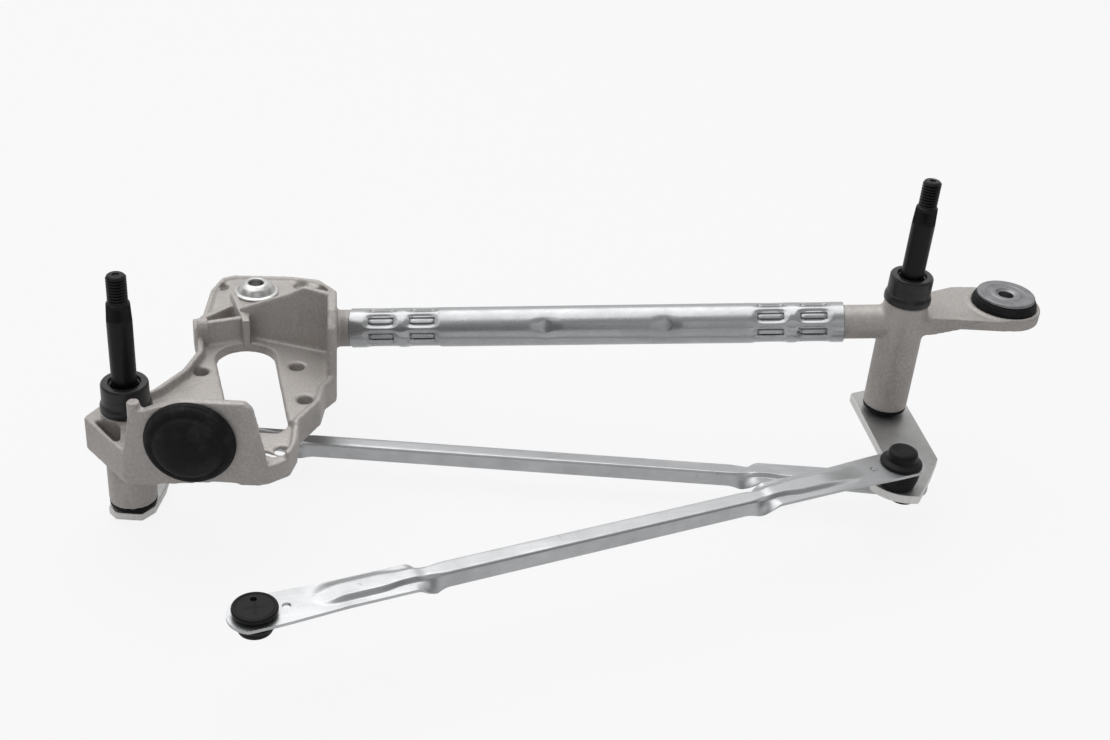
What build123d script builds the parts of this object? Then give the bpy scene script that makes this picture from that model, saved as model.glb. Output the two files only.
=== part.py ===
from build123d import *
from math import cos, hypot, radians, sin
import os

# A wiper linkage: two spindles, each in the boss of a cast bracket, a frame tube that joins the
# brackets, a crank on each spindle and two pressed channel links.
# The origin is on the left spindle's axis, at the shoulder where its thread begins. X runs to the
# right spindle, Y away from the viewer and Z up along the spindles. Sizes are in millimetres.
# Heights are measured up from the left crank's top face, and level() turns one into a Z value.

# Spindles
pivot_spacing = 335.0
right_rise = 23.5
left_shoulder_height = 96.2
right_shoulder_height = 126.4
spindle_diameter = 10.0
thread_diameter = 8.0
thread_length = 11.4
thread_chamfer = 0.9
taper_length = 8.4
taper_top_diameter = 8.9
spindle_foot_diameter = 9.0
peened_head_diameter = 12.5
peened_head_height = 1.2

# Bosses, bushes, washers, rings and caps
boss_diameter = 19.6
left_boss_top = 47.2
boss_above_tube = 10.6
boss_foot_gap = 3.8
running_fit = 0.04
press_gap = 0.02
body_gap = 0.3
bush_wall = 1.6
bush_length = 14.0
lower_washer_diameter = 19.8
upper_washer_thickness = 1.2
ring_thickness = 1.2
cap_height = 12.8
cap_foot_diameter = 20.6
cap_top_diameter = 19.0
cap_foot_height = 4.0
cap_wall = 1.6
cap_top_thickness = 2.4
cap_lip_gap = 0.35
cap_round = 1.2
cap_seat_clearance = 0.3
washer_to_cap_clearance = 0.4
ring_inset = 0.2
ring_groove_diameter = 9.2
ring_gap_width = 4.0

# Cranks
left_crank_angle = 79.5
left_crank_thickness = 3.5
left_crank_end_radius = 10.6
right_crank_thickness = 4.0
rear_throw_length = 40.5
rear_angle = -96.5
front_throw_length = 60.6
front_angle = -108.4
crank_corner_radius = 1.6

# Ball joints
ball_diameter = 11.0
ball_fit = 0.1
stud_neck_diameter = 6.4
stud_shoulder_diameter = 12.4
stud_shoulder_thickness = 2.0
stud_tail_diameter = 7.0
stud_head_diameter = 10.0
stud_head_height = 1.4
socket_flange_diameter = 17.8
socket_flange_thickness = 1.5
socket_neck_diameter = 14.6
socket_dome_diameter = 12.8
socket_dome_height = 5.6
socket_dome_round = 2.2
boot_wall = 1.3
boot_small_diameter = 14.4
cover_diameter = 16.6
cover_thickness = 3.2
cover_round = 0.8
cover_hole_diameter = 2.4

# Pressed links
sheet = 1.5
channel_width = 7.6
channel_depth = 6.8
channel_wall = 1.5
crown_rise = 1.2
shoulder_radius = 2.0
link_end_radius = 10.0
link_strap_width = 16.4
strap_start = 20.0
rib_tip_width = 5.4
rib_tip_rise = 0.25
rib_tip_length = 6.0
rib_width = 8.8
rib_rise = 1.9
rib_shoulder_radius = 1.5
link_hole_diameter = 3.4
left_end_hole = 11.3
right_end_hole = 13.9
left_end_rib = 22.0
right_end_rib = 20.0
left_end_flare = 69.0
right_end_flare = 76.0
flare_length = 12.0
flare_overlap = 4.0
flare_draw = 1.2
rib_closed = 4.0
front_link_length = 278.9
front_link_heading = 192.5

# Left bracket: deck, skirt and flange
deck_top = 45.0
deck_thickness = 5.0
skirt_depth = 11.5
flange_depth = 15.0
skirt_wall = 3.0
lobe_drop = 3.0
lip_height = 4.5
lip_width = 2.6
rim_height = 1.5
rim_width = 2.2
flange_floor = 3.0
corner_radius = 2.4
pocket_radius = 1.2
wall_corner_radius = 1.2
under_rib_thickness = 2.2
under_rib_depth = 5.0
bolt_hole_diameter = 6.6
bolt_pad_diameter = 13.0
bolt_pad_height = 4.0
locating_hole_diameter = 6.0
motor_bolt_x = 29.9
motor_bolt_y = 29.8
motor_bolt_spacing = 40.3
third_bolt_x = 71.3
third_bolt_y = 2.8
opening_centre_x = 49.0
opening_centre_y = 39.5
opening_radius = 12.5
opening_foot_y = -14.0

# Left bracket: rear box
low_wall_top = 56.0
tall_wall_top = 74.8
box_wall = 3.0
rear_rib_top = 53.0
right_wall_start_x = 86.0
right_wall_start_y = 17.4
right_wall_end_x = 94.0
right_wall_end_y = 95.0
right_wall_thickness = 4.0
right_wall_top = 75.0
right_wall_foot = 28.0
rear_mount_x = 57.0
rear_mount_y = 99.0
rear_mount_flange_diameter = 20.5
rear_mount_dome_diameter = 15.0
rear_mount_dome_height = 5.5

# Front tab and its rubber mount
tab_turn = -13.0
tab_thickness = 4.0
tab_start_x = -1.1
tab_start_y = -29.0
tab_pin_diameter = 5.2
mount_along = 26.2
mount_height = 52.6
mount_base_diameter = 35.6
mount_face_diameter = 29.0
mount_depth = 9.5
mount_stem_diameter = 10.6
mount_bulb_diameter = 14.6
mount_bulb_length = 4.0

# Frame tube
tube_diameter = 18.0
tube_wall = 1.3
tube_axis_height = 70.0
tube_start_x = 98.9
tube_start_y = 73.1
tube_start_height = 38.1
tube_gap_to_pivot = 26.2
stub_clearance = 0.1
stub_insertion = 46.0
left_stub_collar = 17.0
left_stub_reach = 8.0
window_length = 13.0
window_height = 5.6
window_pitch = 19.0
window_first_left = 14.7
window_first_right = 13.3
window_first_turn = 79.0
window_turn_pitch = 52.0
window_rows = 4

# Right bracket
ear_below_boss_top = 5.6
ear_thickness = 5.0
ear_root_depth = 10.5
ear_corner_radius = 6.0
ear_ring_diameter = 32.6
ear_ring_height = 0.7
ear_ring_clearance = 0.3
grommet_x = 384.5
grommet_y = 1.5
ear_hole_diameter = 19.0
grommet_flange_diameter = 28.8
grommet_flange_thickness = 4.4
grommet_lower_thickness = 3.0
sleeve_diameter = 11.0
sleeve_disc_diameter = 26.0
sleeve_disc_thickness = 1.6


def level(height):
    """Z value of a height above the left crank's top face."""
    return height - left_shoulder_height


def polar_point(centre, throw, angle):
    """Point at a distance and an angle from a centre, in the XY plane."""
    return (centre[0] + throw * cos(radians(angle)), centre[1] + throw * sin(radians(angle)))


def filled(plane, points, corner=0.0):
    """Sketch of a closed polygon on a plane, with its corners rounded where a radius is given."""
    with BuildSketch(plane) as sketch:
        with BuildLine():
            Polyline(*points, close=True)
        make_face()
        if corner > 0:
            fillet(sketch.vertices(), corner)
    return sketch.sketch


def disc(plane, diameter, centre=(0, 0)):
    """Sketch of a round face on a plane."""
    with BuildSketch(plane) as sketch:
        with Locations(centre):
            Circle(diameter / 2)
    return sketch.sketch


def ring_part(centre, foot, height, outer, inner):
    """Plain ring about a vertical axis."""
    with BuildPart() as ring:
        with BuildSketch(Plane.XY.offset(foot)):
            with Locations(centre):
                Circle(outer / 2)
                Circle(inner / 2, mode=Mode.SUBTRACT)
        extrude(amount=height)
    return ring


def save(part, name):
    """Label a finished piece and write it."""
    part.label = name
    export_step(part, "parts/" + name + ".step")


os.makedirs("parts", exist_ok=True)

left_axis = (0.0, 0.0)
right_axis = (pivot_spacing, 0.0)
bush_outer = spindle_diameter + 2 * (running_fit + bush_wall)
boss_bore = bush_outer + 2 * press_gap
upper_washer_diameter = cap_top_diameter - 2 * (cap_wall + washer_to_cap_clearance)
ring_diameter = upper_washer_diameter - 2 * ring_inset

# Ball centres
rear_left_ball = polar_point(left_axis, rear_throw_length, left_crank_angle)
rear_right_ball = polar_point(right_axis, rear_throw_length, rear_angle)
front_right_ball = polar_point(right_axis, front_throw_length, front_angle)
front_free_ball = polar_point(front_right_ball, front_link_length, front_link_heading)
rear_ball_height = (right_rise - right_crank_thickness) / 2
front_ball_height = right_rise + rear_ball_height

# Tube axis, from its start at the left bracket's right wall to the right pivot
tube_left_end = Vector(tube_start_x, tube_start_y, level(tube_start_height))
tube_meeting = Vector(pivot_spacing, 0, level(tube_axis_height))
tube_direction = (tube_meeting - tube_left_end).normalized()
tube_right_end = tube_meeting - tube_direction * tube_gap_to_pivot
tube_length = (tube_right_end - tube_left_end).length
right_boss_top = tube_axis_height + boss_above_tube
ear_top = right_boss_top - ear_below_boss_top
tube_plane = Plane(origin=tube_left_end, x_dir=Vector(0, 0, 1).cross(tube_direction), z_dir=tube_direction)
stub_diameter = tube_diameter - 2 * tube_wall - 2 * stub_clearance

# Left bracket outline, anticlockwise from the flange's front corner
tab_end = 55.0
tab_direction = (cos(radians(tab_turn)), sin(radians(tab_turn)))
deck_outline = [
    (tab_start_x, tab_start_y),
    (tab_start_x + tab_end * tab_direction[0], tab_start_y + tab_end * tab_direction[1]),
    (62.0, -36.3),
    (65.6, -27.5),
    (67.5, -14.5),
    (77.5, -0.5),
    (80.5, 11.0),
    (right_wall_start_x, right_wall_start_y),
    (right_wall_end_x, right_wall_end_y),
    (87.0, 107.0),
    (74.0, 111.5),
    (48.0, 115.0),
    (42.0, 113.0),
    (36.4, 101.0),
    (32.0, 77.0),
    (28.0, 62.0),
    (29.2, 49.4),
    (29.0, 40.7),
    (22.5, 25.5),
    (9.8, 9.6),
    (-8.0, 11.0),
    (-17.0, -1.0),
]
flange_outline = [
    (-17.0, -1.0),
    (tab_start_x, tab_start_y),
    (12.0, tab_start_y - 3.0),
    (12.0, 10.0),
    (-8.0, 11.0),
]
flange_pocket = [(-12.6, -3.6), (-2.4, -5.0), (-2.4, -23.5)]
lobe_floor = [
    (40.0, -12.6),
    (64.6, -12.6),
    (65.0, -15.0),
    (63.2, -27.5),
    (60.0, -34.8),
    (64.0, -38.0),
    (57.0, -46.0),
    (40.0, -46.0),
]

# Crank outlines, from each spindle's axis
left_crank_head = [
    (-10.3, -1.0),
    (-7.6, -5.5),
    (3.1, -8.0),
    (8.5, -3.0),
    (12.9, 10.5),
]
right_crank_head = [
    (-0.7, -53.2),
    (7.8, -41.8),
    (13.3, 4.9),
    (9.5, 14.5),
    (0.5, 17.6),
    (-9.8, 15.2),
    (-15.7, -35.0),
]
right_crank_end = [(-29.9, -54.9), (-24.0, -63.8), (-12.7, -67.8)]


def edge_strip(plane, outline, width, region):
    """Strip along the inside of an outline, kept where it lies in a region."""
    with BuildSketch(plane) as strip:
        with BuildLine():
            Polyline(*outline, close=True)
        make_face()
        fillet(strip.vertices(), corner_radius)
        inner = offset(amount=-width, mode=Mode.PRIVATE)
        add(inner, mode=Mode.SUBTRACT)
        with BuildLine():
            Polyline(*region, close=True)
        make_face(mode=Mode.INTERSECT)
    return strip.sketch


def upright_wall(start, end, profile):
    """Face on the upright plane through start and end, with a profile of (distance, height) points."""
    along = Vector(end[0] - start[0], end[1] - start[1], 0).normalized()
    wall_plane = Plane(origin=(start[0], start[1], level(0)), x_dir=along, z_dir=along.cross(Vector(0, 0, 1)))
    return filled(wall_plane, profile, wall_corner_radius)


left_boss_foot = boss_foot_gap
motor_bolts = [
    (motor_bolt_x, motor_bolt_y),
    (motor_bolt_x + motor_bolt_spacing, motor_bolt_y),
    (third_bolt_x, third_bolt_y),
]
under_ribs = [
    ((10.0, -8.0), motor_bolts[0]),
    (motor_bolts[0], (46.0, 86.0)),
    (motor_bolts[1], (64.0, 108.0)),
    ((40.0, 70.0), (90.0, 66.0)),
    ((36.0, 92.0), (91.0, 88.0)),
]
with BuildPart() as left_bracket:
    # Deck with the skirt below it
    skirt_plane = Plane.XY.offset(level(deck_top - skirt_depth))
    deck_plane = Plane.XY.offset(level(deck_top))
    outline_face = filled(skirt_plane, deck_outline, corner_radius)
    extrude(outline_face, amount=skirt_depth)
    with BuildSketch(skirt_plane):
        add(outline_face)
        offset(amount=-skirt_wall, mode=Mode.REPLACE)
    extrude(amount=skirt_depth - deck_thickness, mode=Mode.SUBTRACT)
    # Screw pads under the deck
    with BuildSketch(Plane.XY.offset(level(deck_top - deck_thickness))):
        with Locations(*motor_bolts):
            Circle(bolt_pad_diameter / 2)
    extrude(amount=-bolt_pad_height)
    # Ribs under the deck, from the flange past the screw pads to the rear box
    with BuildSketch(Plane.XY.offset(level(deck_top - deck_thickness))):
        for start, end in under_ribs:
            with BuildLine():
                Line(start, end)
            trace(line_width=under_rib_thickness)
    extrude(amount=-under_rib_depth)
    # Flange at the left, filled, and the spindle boss through it
    extrude(filled(deck_plane, flange_outline, corner_radius), amount=-flange_depth)
    extrude(filled(deck_plane, flange_pocket, pocket_radius), amount=-(flange_depth - flange_floor), mode=Mode.SUBTRACT)
    # Raised lip on the left, raised rim on the right and round the rear box
    lip_region = [(6.0, 5.0), (0.0, 14.0), (20.0, 50.0), (34.0, 50.0), (34.0, 25.0)]
    extrude(edge_strip(deck_plane, deck_outline, lip_width, lip_region), amount=lip_height)
    rim_region = [(62.0, -13.5), (72.0, -20.0), (100.0, 30.0), (84.0, 38.5), (70.0, 20.0), (66.0, -10.0)]
    extrude(edge_strip(deck_plane, deck_outline, rim_width, rim_region), amount=rim_height)
    box_region = [(20.0, 55.0), (20.0, 125.0), (100.0, 125.0), (100.0, 88.0), (70.0, 88.0), (50.0, 55.0)]
    extrude(edge_strip(deck_plane, deck_outline, rim_width, box_region), amount=rim_height)
    # Lower lobe, a step down from the deck
    extrude(filled(deck_plane, lobe_floor), amount=-lobe_drop, mode=Mode.SUBTRACT)
    # Low front wall of the rear box and its ribs
    for start, end, top in (
        ((29.5, 52.2), (50.5, 56.6), low_wall_top),
        ((29.5, 52.2), (29.0, 62.5), low_wall_top - 3.0),
        ((49.5, 55.0), (46.0, 86.0), rear_rib_top),
        ((31.0, 64.0), (47.0, 77.0), rear_rib_top - 1.0),
    ):
        run = hypot(end[0] - start[0], end[1] - start[1])
        wall_root = deck_top - deck_thickness
        face = upright_wall(start, end, [(0, wall_root), (run, wall_root), (run, top), (0, top)])
        extrude(face, amount=box_wall / 2, both=True)
    # Tall wall, rising to the right
    tall_start = (48.0, 60.9)
    tall_end = (right_wall_start_x, 41.0)
    tall_run = hypot(tall_end[0] - tall_start[0], tall_end[1] - tall_start[1])
    tall_profile = [
        (0, deck_top - deck_thickness),
        (tall_run, deck_top - deck_thickness),
        (tall_run, tall_wall_top - 1.0),
        (31.0, tall_wall_top),
        (23.0, 69.8),
        (13.0, 64.8),
        (0, 58.0),
    ]
    extrude(upright_wall(tall_start, tall_end, tall_profile), amount=box_wall / 2, both=True)
    # Right wall, from its upright front edge to the box's rear corner
    right_wall_start = (right_wall_start_x, right_wall_start_y)
    right_wall_end = (right_wall_end_x, right_wall_end_y)
    right_wall_run = hypot(right_wall_end_x - right_wall_start_x, right_wall_end_y - right_wall_start_y)
    right_wall_profile = [
        (0, deck_top - deck_thickness),
        (12.0, deck_top - skirt_depth),
        (40.0, right_wall_foot),
        (right_wall_run, right_wall_foot),
        (right_wall_run, deck_top),
        (22.7, right_wall_top - 0.5),
        (7.6, right_wall_top),
        (0, right_wall_top - 6.0),
    ]
    extrude(upright_wall(right_wall_start, right_wall_end, right_wall_profile), amount=-right_wall_thickness)
    # Front tab, its upright pin and the hole for the rubber mount
    tab_plane = Plane(
        origin=(tab_start_x, tab_start_y, level(0)),
        x_dir=(tab_direction[0], tab_direction[1], 0),
        z_dir=(tab_direction[1], -tab_direction[0], 0),
    )
    tab_foot = deck_top - flange_depth
    tab_profile = [
        (-0.2, tab_foot),
        (17.6, tab_foot + 1.3),
        (42.0, tab_foot + 4.3),
        (45.0, tab_foot + 2.5),
        (tab_end, tab_foot + 3.4),
        (54.6, 45.4),
        (52.0, 58.6),
        (50.0, 68.0),
        (47.0, 70.4),
        (24.0, 69.9),
        (12.0, 66.0),
        (2.7, 62.0),
        (-0.2, 45.0),
    ]
    extrude(filled(tab_plane, tab_profile, wall_corner_radius), amount=-tab_thickness)
    extrude(disc(tab_plane, mount_stem_diameter, (mount_along, mount_height)), amount=-tab_thickness, mode=Mode.SUBTRACT)
    pin_plane = Plane.XY.offset(level(tab_foot + 2.0))
    extrude(disc(pin_plane, tab_pin_diameter, (4.0, -27.0)), amount=67.0 - tab_foot - 2.0)
    # Motor opening
    with BuildSketch(skirt_plane):
        with BuildLine():
            top_arc = CenterArc((opening_centre_x, opening_centre_y), opening_radius, 0, 180)
            Polyline(
                top_arc @ 1,
                (opening_centre_x - 8.6, opening_foot_y + 1.5),
                (opening_centre_x + 10.0, opening_foot_y - 2.5),
                (opening_centre_x + 14.2, opening_foot_y + 2.0),
                top_arc @ 0,
            )
        make_face()
    extrude(amount=skirt_depth, mode=Mode.SUBTRACT)
    # Screw holes, locating hole and its slot
    with BuildSketch(skirt_plane):
        with Locations(*motor_bolts):
            Circle(bolt_hole_diameter / 2)
        with Locations((59.5, -29.5)):
            Circle(locating_hole_diameter / 2)
        with Locations(Location((54.4, -31.2), -36.0)):
            SlotOverall(7.0, 2.0)
        with Locations((rear_mount_x, rear_mount_y)):
            Circle(rear_mount_dome_diameter / 2 - 1.0)
    extrude(amount=skirt_depth, mode=Mode.SUBTRACT)
    # Corner pockets of the rear box
    with BuildSketch(deck_plane):
        with Locations((41.5, 106.0), (78.0, 104.0), (87.5, 99.0)):
            Circle(3.2)
    extrude(amount=-2.5, mode=Mode.SUBTRACT)
    # Spindle boss and its bore
    boss_plane = Plane.XY.offset(level(left_boss_foot))
    extrude(disc(boss_plane, boss_diameter), amount=left_boss_top - left_boss_foot)
    extrude(disc(boss_plane, boss_bore), amount=left_boss_top - left_boss_foot, mode=Mode.SUBTRACT)
    # Room for the seal cap's foot beside the raised lip
    cap_room = disc(Plane.XY.offset(level(left_boss_top)), cap_foot_diameter + 2 * cap_seat_clearance)
    extrude(cap_room, amount=cap_foot_height, mode=Mode.SUBTRACT)
    # Stub for the frame tube
    extrude(disc(tube_plane, left_stub_collar), amount=-left_stub_reach)
    extrude(disc(tube_plane, stub_diameter), amount=stub_insertion)
save(left_bracket.part, "left_bracket")

# Frame tube with crimp windows at both ends
with BuildPart() as frame_tube:
    with BuildSketch(tube_plane):
        Circle(tube_diameter / 2)
        Circle(tube_diameter / 2 - tube_wall, mode=Mode.SUBTRACT)
    extrude(amount=tube_length)
    for distance in (
        window_first_left,
        window_first_left + window_pitch,
        tube_length - window_first_right - window_pitch,
        tube_length - window_first_right,
    ):
        for row in range(window_rows):
            turn = window_first_turn + row * window_turn_pitch
            face_plane = Plane(tube_plane.from_local_coords((0, 0, distance)), x_dir=tube_direction,
                               z_dir=tube_plane.x_dir.rotate(Axis((0, 0, 0), tube_direction), turn))
            with BuildSketch(face_plane):
                SlotOverall(window_length, window_height)
            extrude(amount=tube_diameter, mode=Mode.SUBTRACT)
save(frame_tube.part, "frame_tube")

# Right bracket: boss, stub for the tube and ear
right_boss_foot = right_rise + boss_foot_gap
ear_outline = [
    (-4.0, 9.0),
    (23.0, 18.0),
    (33.0, 21.0),
    (44.0, 20.0),
    (58.0, 16.0),
    (64.0, 8.0),
    (65.0, 0.0),
    (60.0, -8.0),
    (52.0, -13.0),
    (44.0, -14.5),
    (32.0, -12.0),
    (7.0, -7.0),
    (-4.0, -9.0),
]
with BuildPart() as right_bracket:
    right_boss_plane = Plane.XY.offset(level(right_boss_foot))
    extrude(disc(right_boss_plane, boss_diameter, right_axis), amount=right_boss_top - right_boss_foot)
    ear_plane = Plane.XY.offset(level(ear_top))
    ear_points = [(pivot_spacing + point[0], point[1]) for point in ear_outline]
    extrude(filled(ear_plane, ear_points, ear_corner_radius), amount=-ear_thickness)
    # Low ring round the grommet's seat
    extrude(disc(ear_plane, ear_ring_diameter, (grommet_x, grommet_y)), amount=ear_ring_height)
    ring_room = disc(ear_plane, grommet_flange_diameter + 2 * ear_ring_clearance, (grommet_x, grommet_y))
    extrude(ring_room, amount=ear_ring_height, mode=Mode.SUBTRACT)
    gusset_plane = Plane(origin=(pivot_spacing, 0, level(0)), x_dir=(1, 0, 0), z_dir=(0, -1, 0))
    gusset_points = [(0, ear_top - 1.0), (36.0, ear_top - ear_thickness), (0, ear_top - ear_root_depth)]
    extrude(filled(gusset_plane, gusset_points), amount=boss_diameter / 2 - 2.0, both=True)
    stub_plane = Plane(origin=tube_right_end, x_dir=tube_plane.x_dir, z_dir=tube_direction)
    extrude(disc(stub_plane, stub_diameter), amount=tube_gap_to_pivot)
    extrude(disc(stub_plane, stub_diameter), amount=-stub_insertion)
    extrude(disc(right_boss_plane, boss_bore, right_axis), amount=right_boss_top - right_boss_foot, mode=Mode.SUBTRACT)
    extrude(disc(ear_plane, ear_hole_diameter, (grommet_x, grommet_y)), amount=-ear_thickness, mode=Mode.SUBTRACT)
save(right_bracket.part, "right_bracket")

# Ear grommet: two flanges joined by a waist in the ear's hole
with BuildPart() as ear_grommet:
    with BuildSketch(Plane.XZ.offset(-grommet_y)):
        with BuildLine():
            waist = ear_hole_diameter / 2 - press_gap
            flange = grommet_flange_diameter / 2
            top_z = level(ear_top) + press_gap
            foot_z = level(ear_top - ear_thickness) - press_gap
            bore = sleeve_diameter / 2 + press_gap
            Polyline(
                (grommet_x + bore, top_z + grommet_flange_thickness),
                (grommet_x + flange - 1.5, top_z + grommet_flange_thickness),
                (grommet_x + flange, top_z + grommet_flange_thickness - 1.5),
                (grommet_x + flange, top_z),
                (grommet_x + waist, top_z),
                (grommet_x + waist, foot_z),
                (grommet_x + flange - 3.0, foot_z),
                (grommet_x + flange - 4.0, foot_z - grommet_lower_thickness),
                (grommet_x + bore, foot_z - grommet_lower_thickness),
                close=True,
            )
        make_face()
    revolve(axis=Axis((grommet_x, grommet_y, 0), (0, 0, 1)))
save(ear_grommet.part, "ear_grommet")

# Steel sleeve through the grommet, with its top disc
sleeve_foot = level(ear_top - ear_thickness) - press_gap - grommet_lower_thickness
disc_foot = level(ear_top) + press_gap + grommet_flange_thickness + press_gap
with BuildPart() as grommet_sleeve:
    with BuildSketch(Plane.XY.offset(sleeve_foot)):
        with Locations((grommet_x, grommet_y)):
            Circle(sleeve_diameter / 2)
    extrude(amount=disc_foot - sleeve_foot)
    with BuildSketch(Plane.XY.offset(disc_foot)):
        with Locations((grommet_x, grommet_y)):
            Circle(sleeve_disc_diameter / 2)
    extrude(amount=sleeve_disc_thickness)
    with BuildSketch(Plane.XY.offset(sleeve_foot)):
        with Locations((grommet_x, grommet_y)):
            Circle(bolt_hole_diameter / 2)
    extrude(amount=disc_foot - sleeve_foot + sleeve_disc_thickness, mode=Mode.SUBTRACT)
save(grommet_sleeve.part, "grommet_sleeve")

# Rear mount collar, a domed flanged collar in the rear box's floor
with BuildPart() as rear_mount_collar:
    with BuildSketch(Plane.XZ.offset(-rear_mount_y)):
        collar_z = level(deck_top) + press_gap
        with BuildLine():
            foot = (rear_mount_x + bolt_hole_diameter / 2, level(deck_top - deck_thickness))
            top = (rear_mount_x + bolt_hole_diameter / 2, collar_z + rear_mount_dome_height)
            shoulder = (rear_mount_x + rear_mount_dome_diameter / 2 + 1.0, collar_z + 1.4)
            dome = ThreePointArc(
                top,
                (rear_mount_x + rear_mount_dome_diameter / 2 - 1.6, collar_z + rear_mount_dome_height - 1.6),
                shoulder,
            )
            Polyline(
                shoulder,
                (rear_mount_x + rear_mount_flange_diameter / 2, collar_z + 1.0),
                (rear_mount_x + rear_mount_flange_diameter / 2, collar_z),
                (rear_mount_x + rear_mount_dome_diameter / 2 - 1.0 - press_gap, collar_z),
                (rear_mount_x + rear_mount_dome_diameter / 2 - 1.0 - press_gap, level(deck_top - deck_thickness)),
                foot,
                top,
            )
        make_face()
    revolve(axis=Axis((rear_mount_x, rear_mount_y, 0), (0, 0, 1)))
save(rear_mount_collar.part, "rear_mount_collar")

# Front rubber mount: a dome in front of the tab, a stem through it and a bulb behind
mount_plane = Plane(
    origin=tab_plane.from_local_coords((mount_along, mount_height, 0)),
    x_dir=tab_plane.x_dir,
    z_dir=tab_plane.z_dir,
)
with BuildPart() as front_rubber_mount:
    with BuildSketch(Plane(origin=mount_plane.origin, x_dir=mount_plane.x_dir, z_dir=(0, 0, 1))):
        with BuildLine():
            rim = (mount_base_diameter / 2, -press_gap)
            face_edge = (mount_face_diameter / 2, -mount_depth + 1.8)
            Polyline((0, 0), (0, -mount_depth))
            ThreePointArc((0, -mount_depth), (mount_face_diameter / 4, -mount_depth + 0.4), face_edge)
            Polyline(
                face_edge,
                (mount_base_diameter / 2 - 0.8, -1.8),
                rim,
                (mount_stem_diameter / 2 - press_gap, -press_gap),
                (mount_stem_diameter / 2 - press_gap, tab_thickness + press_gap),
                (mount_bulb_diameter / 2, tab_thickness + press_gap),
                (mount_bulb_diameter / 2 - 3.0, tab_thickness + mount_bulb_length),
                (0, tab_thickness + mount_bulb_length),
                (0, 0),
            )
        make_face()
    revolve(axis=Axis(mount_plane.origin, mount_plane.z_dir))
save(front_rubber_mount.part, "front_rubber_mount")


def make_spindle(axis, crank_top, crank_thickness, groove_z, shoulder):
    """Spindle with a peened foot, a shank with the ring's groove, a taper and a thread."""
    with BuildPart() as spindle:
        with BuildSketch(Plane.XZ.offset(-axis[1])):
            with BuildLine():
                x = axis[0]
                under = level(crank_top - crank_thickness) - press_gap
                shoulder_z = level(shoulder)
                Polyline(
                    (x, under - peened_head_height),
                    (x + peened_head_diameter / 2 - 0.8, under - peened_head_height),
                    (x + peened_head_diameter / 2, under - 0.5),
                    (x + peened_head_diameter / 2, under),
                    (x + spindle_foot_diameter / 2, under),
                    (x + spindle_foot_diameter / 2, level(crank_top) + press_gap),
                    (x + spindle_diameter / 2, level(crank_top) + press_gap),
                    (x + spindle_diameter / 2, groove_z - press_gap),
                    (x + ring_groove_diameter / 2, groove_z - press_gap),
                    (x + ring_groove_diameter / 2, groove_z + ring_thickness + press_gap),
                    (x + spindle_diameter / 2, groove_z + ring_thickness + press_gap),
                    (x + spindle_diameter / 2, shoulder_z - taper_length),
                    (x + taper_top_diameter / 2, shoulder_z),
                    (x + thread_diameter / 2, shoulder_z),
                    (x + thread_diameter / 2, shoulder_z + thread_length - thread_chamfer),
                    (x + thread_diameter / 2 - thread_chamfer, shoulder_z + thread_length),
                    (x, shoulder_z + thread_length),
                    close=True,
                )
            make_face()
        revolve(axis=Axis((axis[0], axis[1], 0), (0, 0, 1)))
    return spindle


def make_cap(axis, boss_top):
    """Seal cap on a boss, hollow over the washer and the retaining ring."""
    with BuildPart() as cap:
        with BuildSketch(Plane.XZ.offset(-axis[1])):
            with BuildLine():
                x = axis[0]
                foot = level(boss_top) + press_gap
                top = level(boss_top) + cap_height
                inner = cap_top_diameter / 2 - cap_wall
                lip = spindle_diameter / 2 + cap_lip_gap
                Polyline(
                    (x + inner, foot),
                    (x + cap_foot_diameter / 2, foot),
                    (x + cap_foot_diameter / 2, foot + cap_foot_height - 0.6),
                    (x + cap_top_diameter / 2, foot + cap_foot_height),
                    (x + cap_top_diameter / 2, top - cap_round),
                    (x + cap_top_diameter / 2 - cap_round, top),
                    (x + lip, top),
                    (x + lip, top - cap_top_thickness),
                    (x + inner, top - cap_top_thickness),
                    close=True,
                )
            make_face()
        revolve(axis=Axis((axis[0], axis[1], 0), (0, 0, 1)))
    return cap


# The running parts of each boss, the same on both sides
for side, axis, crank_top, crank_thickness, boss_top, shoulder in (
    ("left", left_axis, 0.0, left_crank_thickness, left_boss_top, left_shoulder_height),
    ("right", right_axis, right_rise, right_crank_thickness, right_boss_top, right_shoulder_height),
):
    boss_foot = crank_top + boss_foot_gap
    shaft_bore = spindle_diameter + 2 * running_fit
    ring_foot = level(boss_top) + upper_washer_thickness + body_gap
    save(make_spindle(axis, crank_top, crank_thickness, ring_foot, shoulder).part, side + "_spindle")
    save(make_cap(axis, boss_top).part, side + "_seal_cap")
    lower_bush = ring_part(axis, level(boss_foot), bush_length, bush_outer, shaft_bore)
    save(lower_bush.part, side + "_lower_bush")
    upper_bush = ring_part(axis, level(boss_top) - bush_length, bush_length, bush_outer, shaft_bore)
    save(upper_bush.part, side + "_upper_bush")
    washer_height = boss_foot_gap - body_gap
    lower_washer = ring_part(axis, level(crank_top) + body_gap, washer_height, lower_washer_diameter, shaft_bore + 0.1)
    save(lower_washer.part, side + "_lower_washer")
    upper_washer = ring_part(axis, level(boss_top), upper_washer_thickness, upper_washer_diameter, shaft_bore + 0.1)
    save(upper_washer.part, side + "_upper_washer")
    # Open retaining ring, its gap towards the tube
    with BuildPart() as retaining_ring:
        with BuildSketch(Plane.XY.offset(ring_foot)):
            with Locations(axis):
                Circle(ring_diameter / 2)
                Circle(ring_groove_diameter / 2 + press_gap, mode=Mode.SUBTRACT)
            with Locations((axis[0], axis[1] + ring_diameter / 2)):
                Rectangle(ring_gap_width, ring_diameter, mode=Mode.SUBTRACT)
        extrude(amount=ring_thickness)
    save(retaining_ring.part, side + "_retaining_ring")

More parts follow.
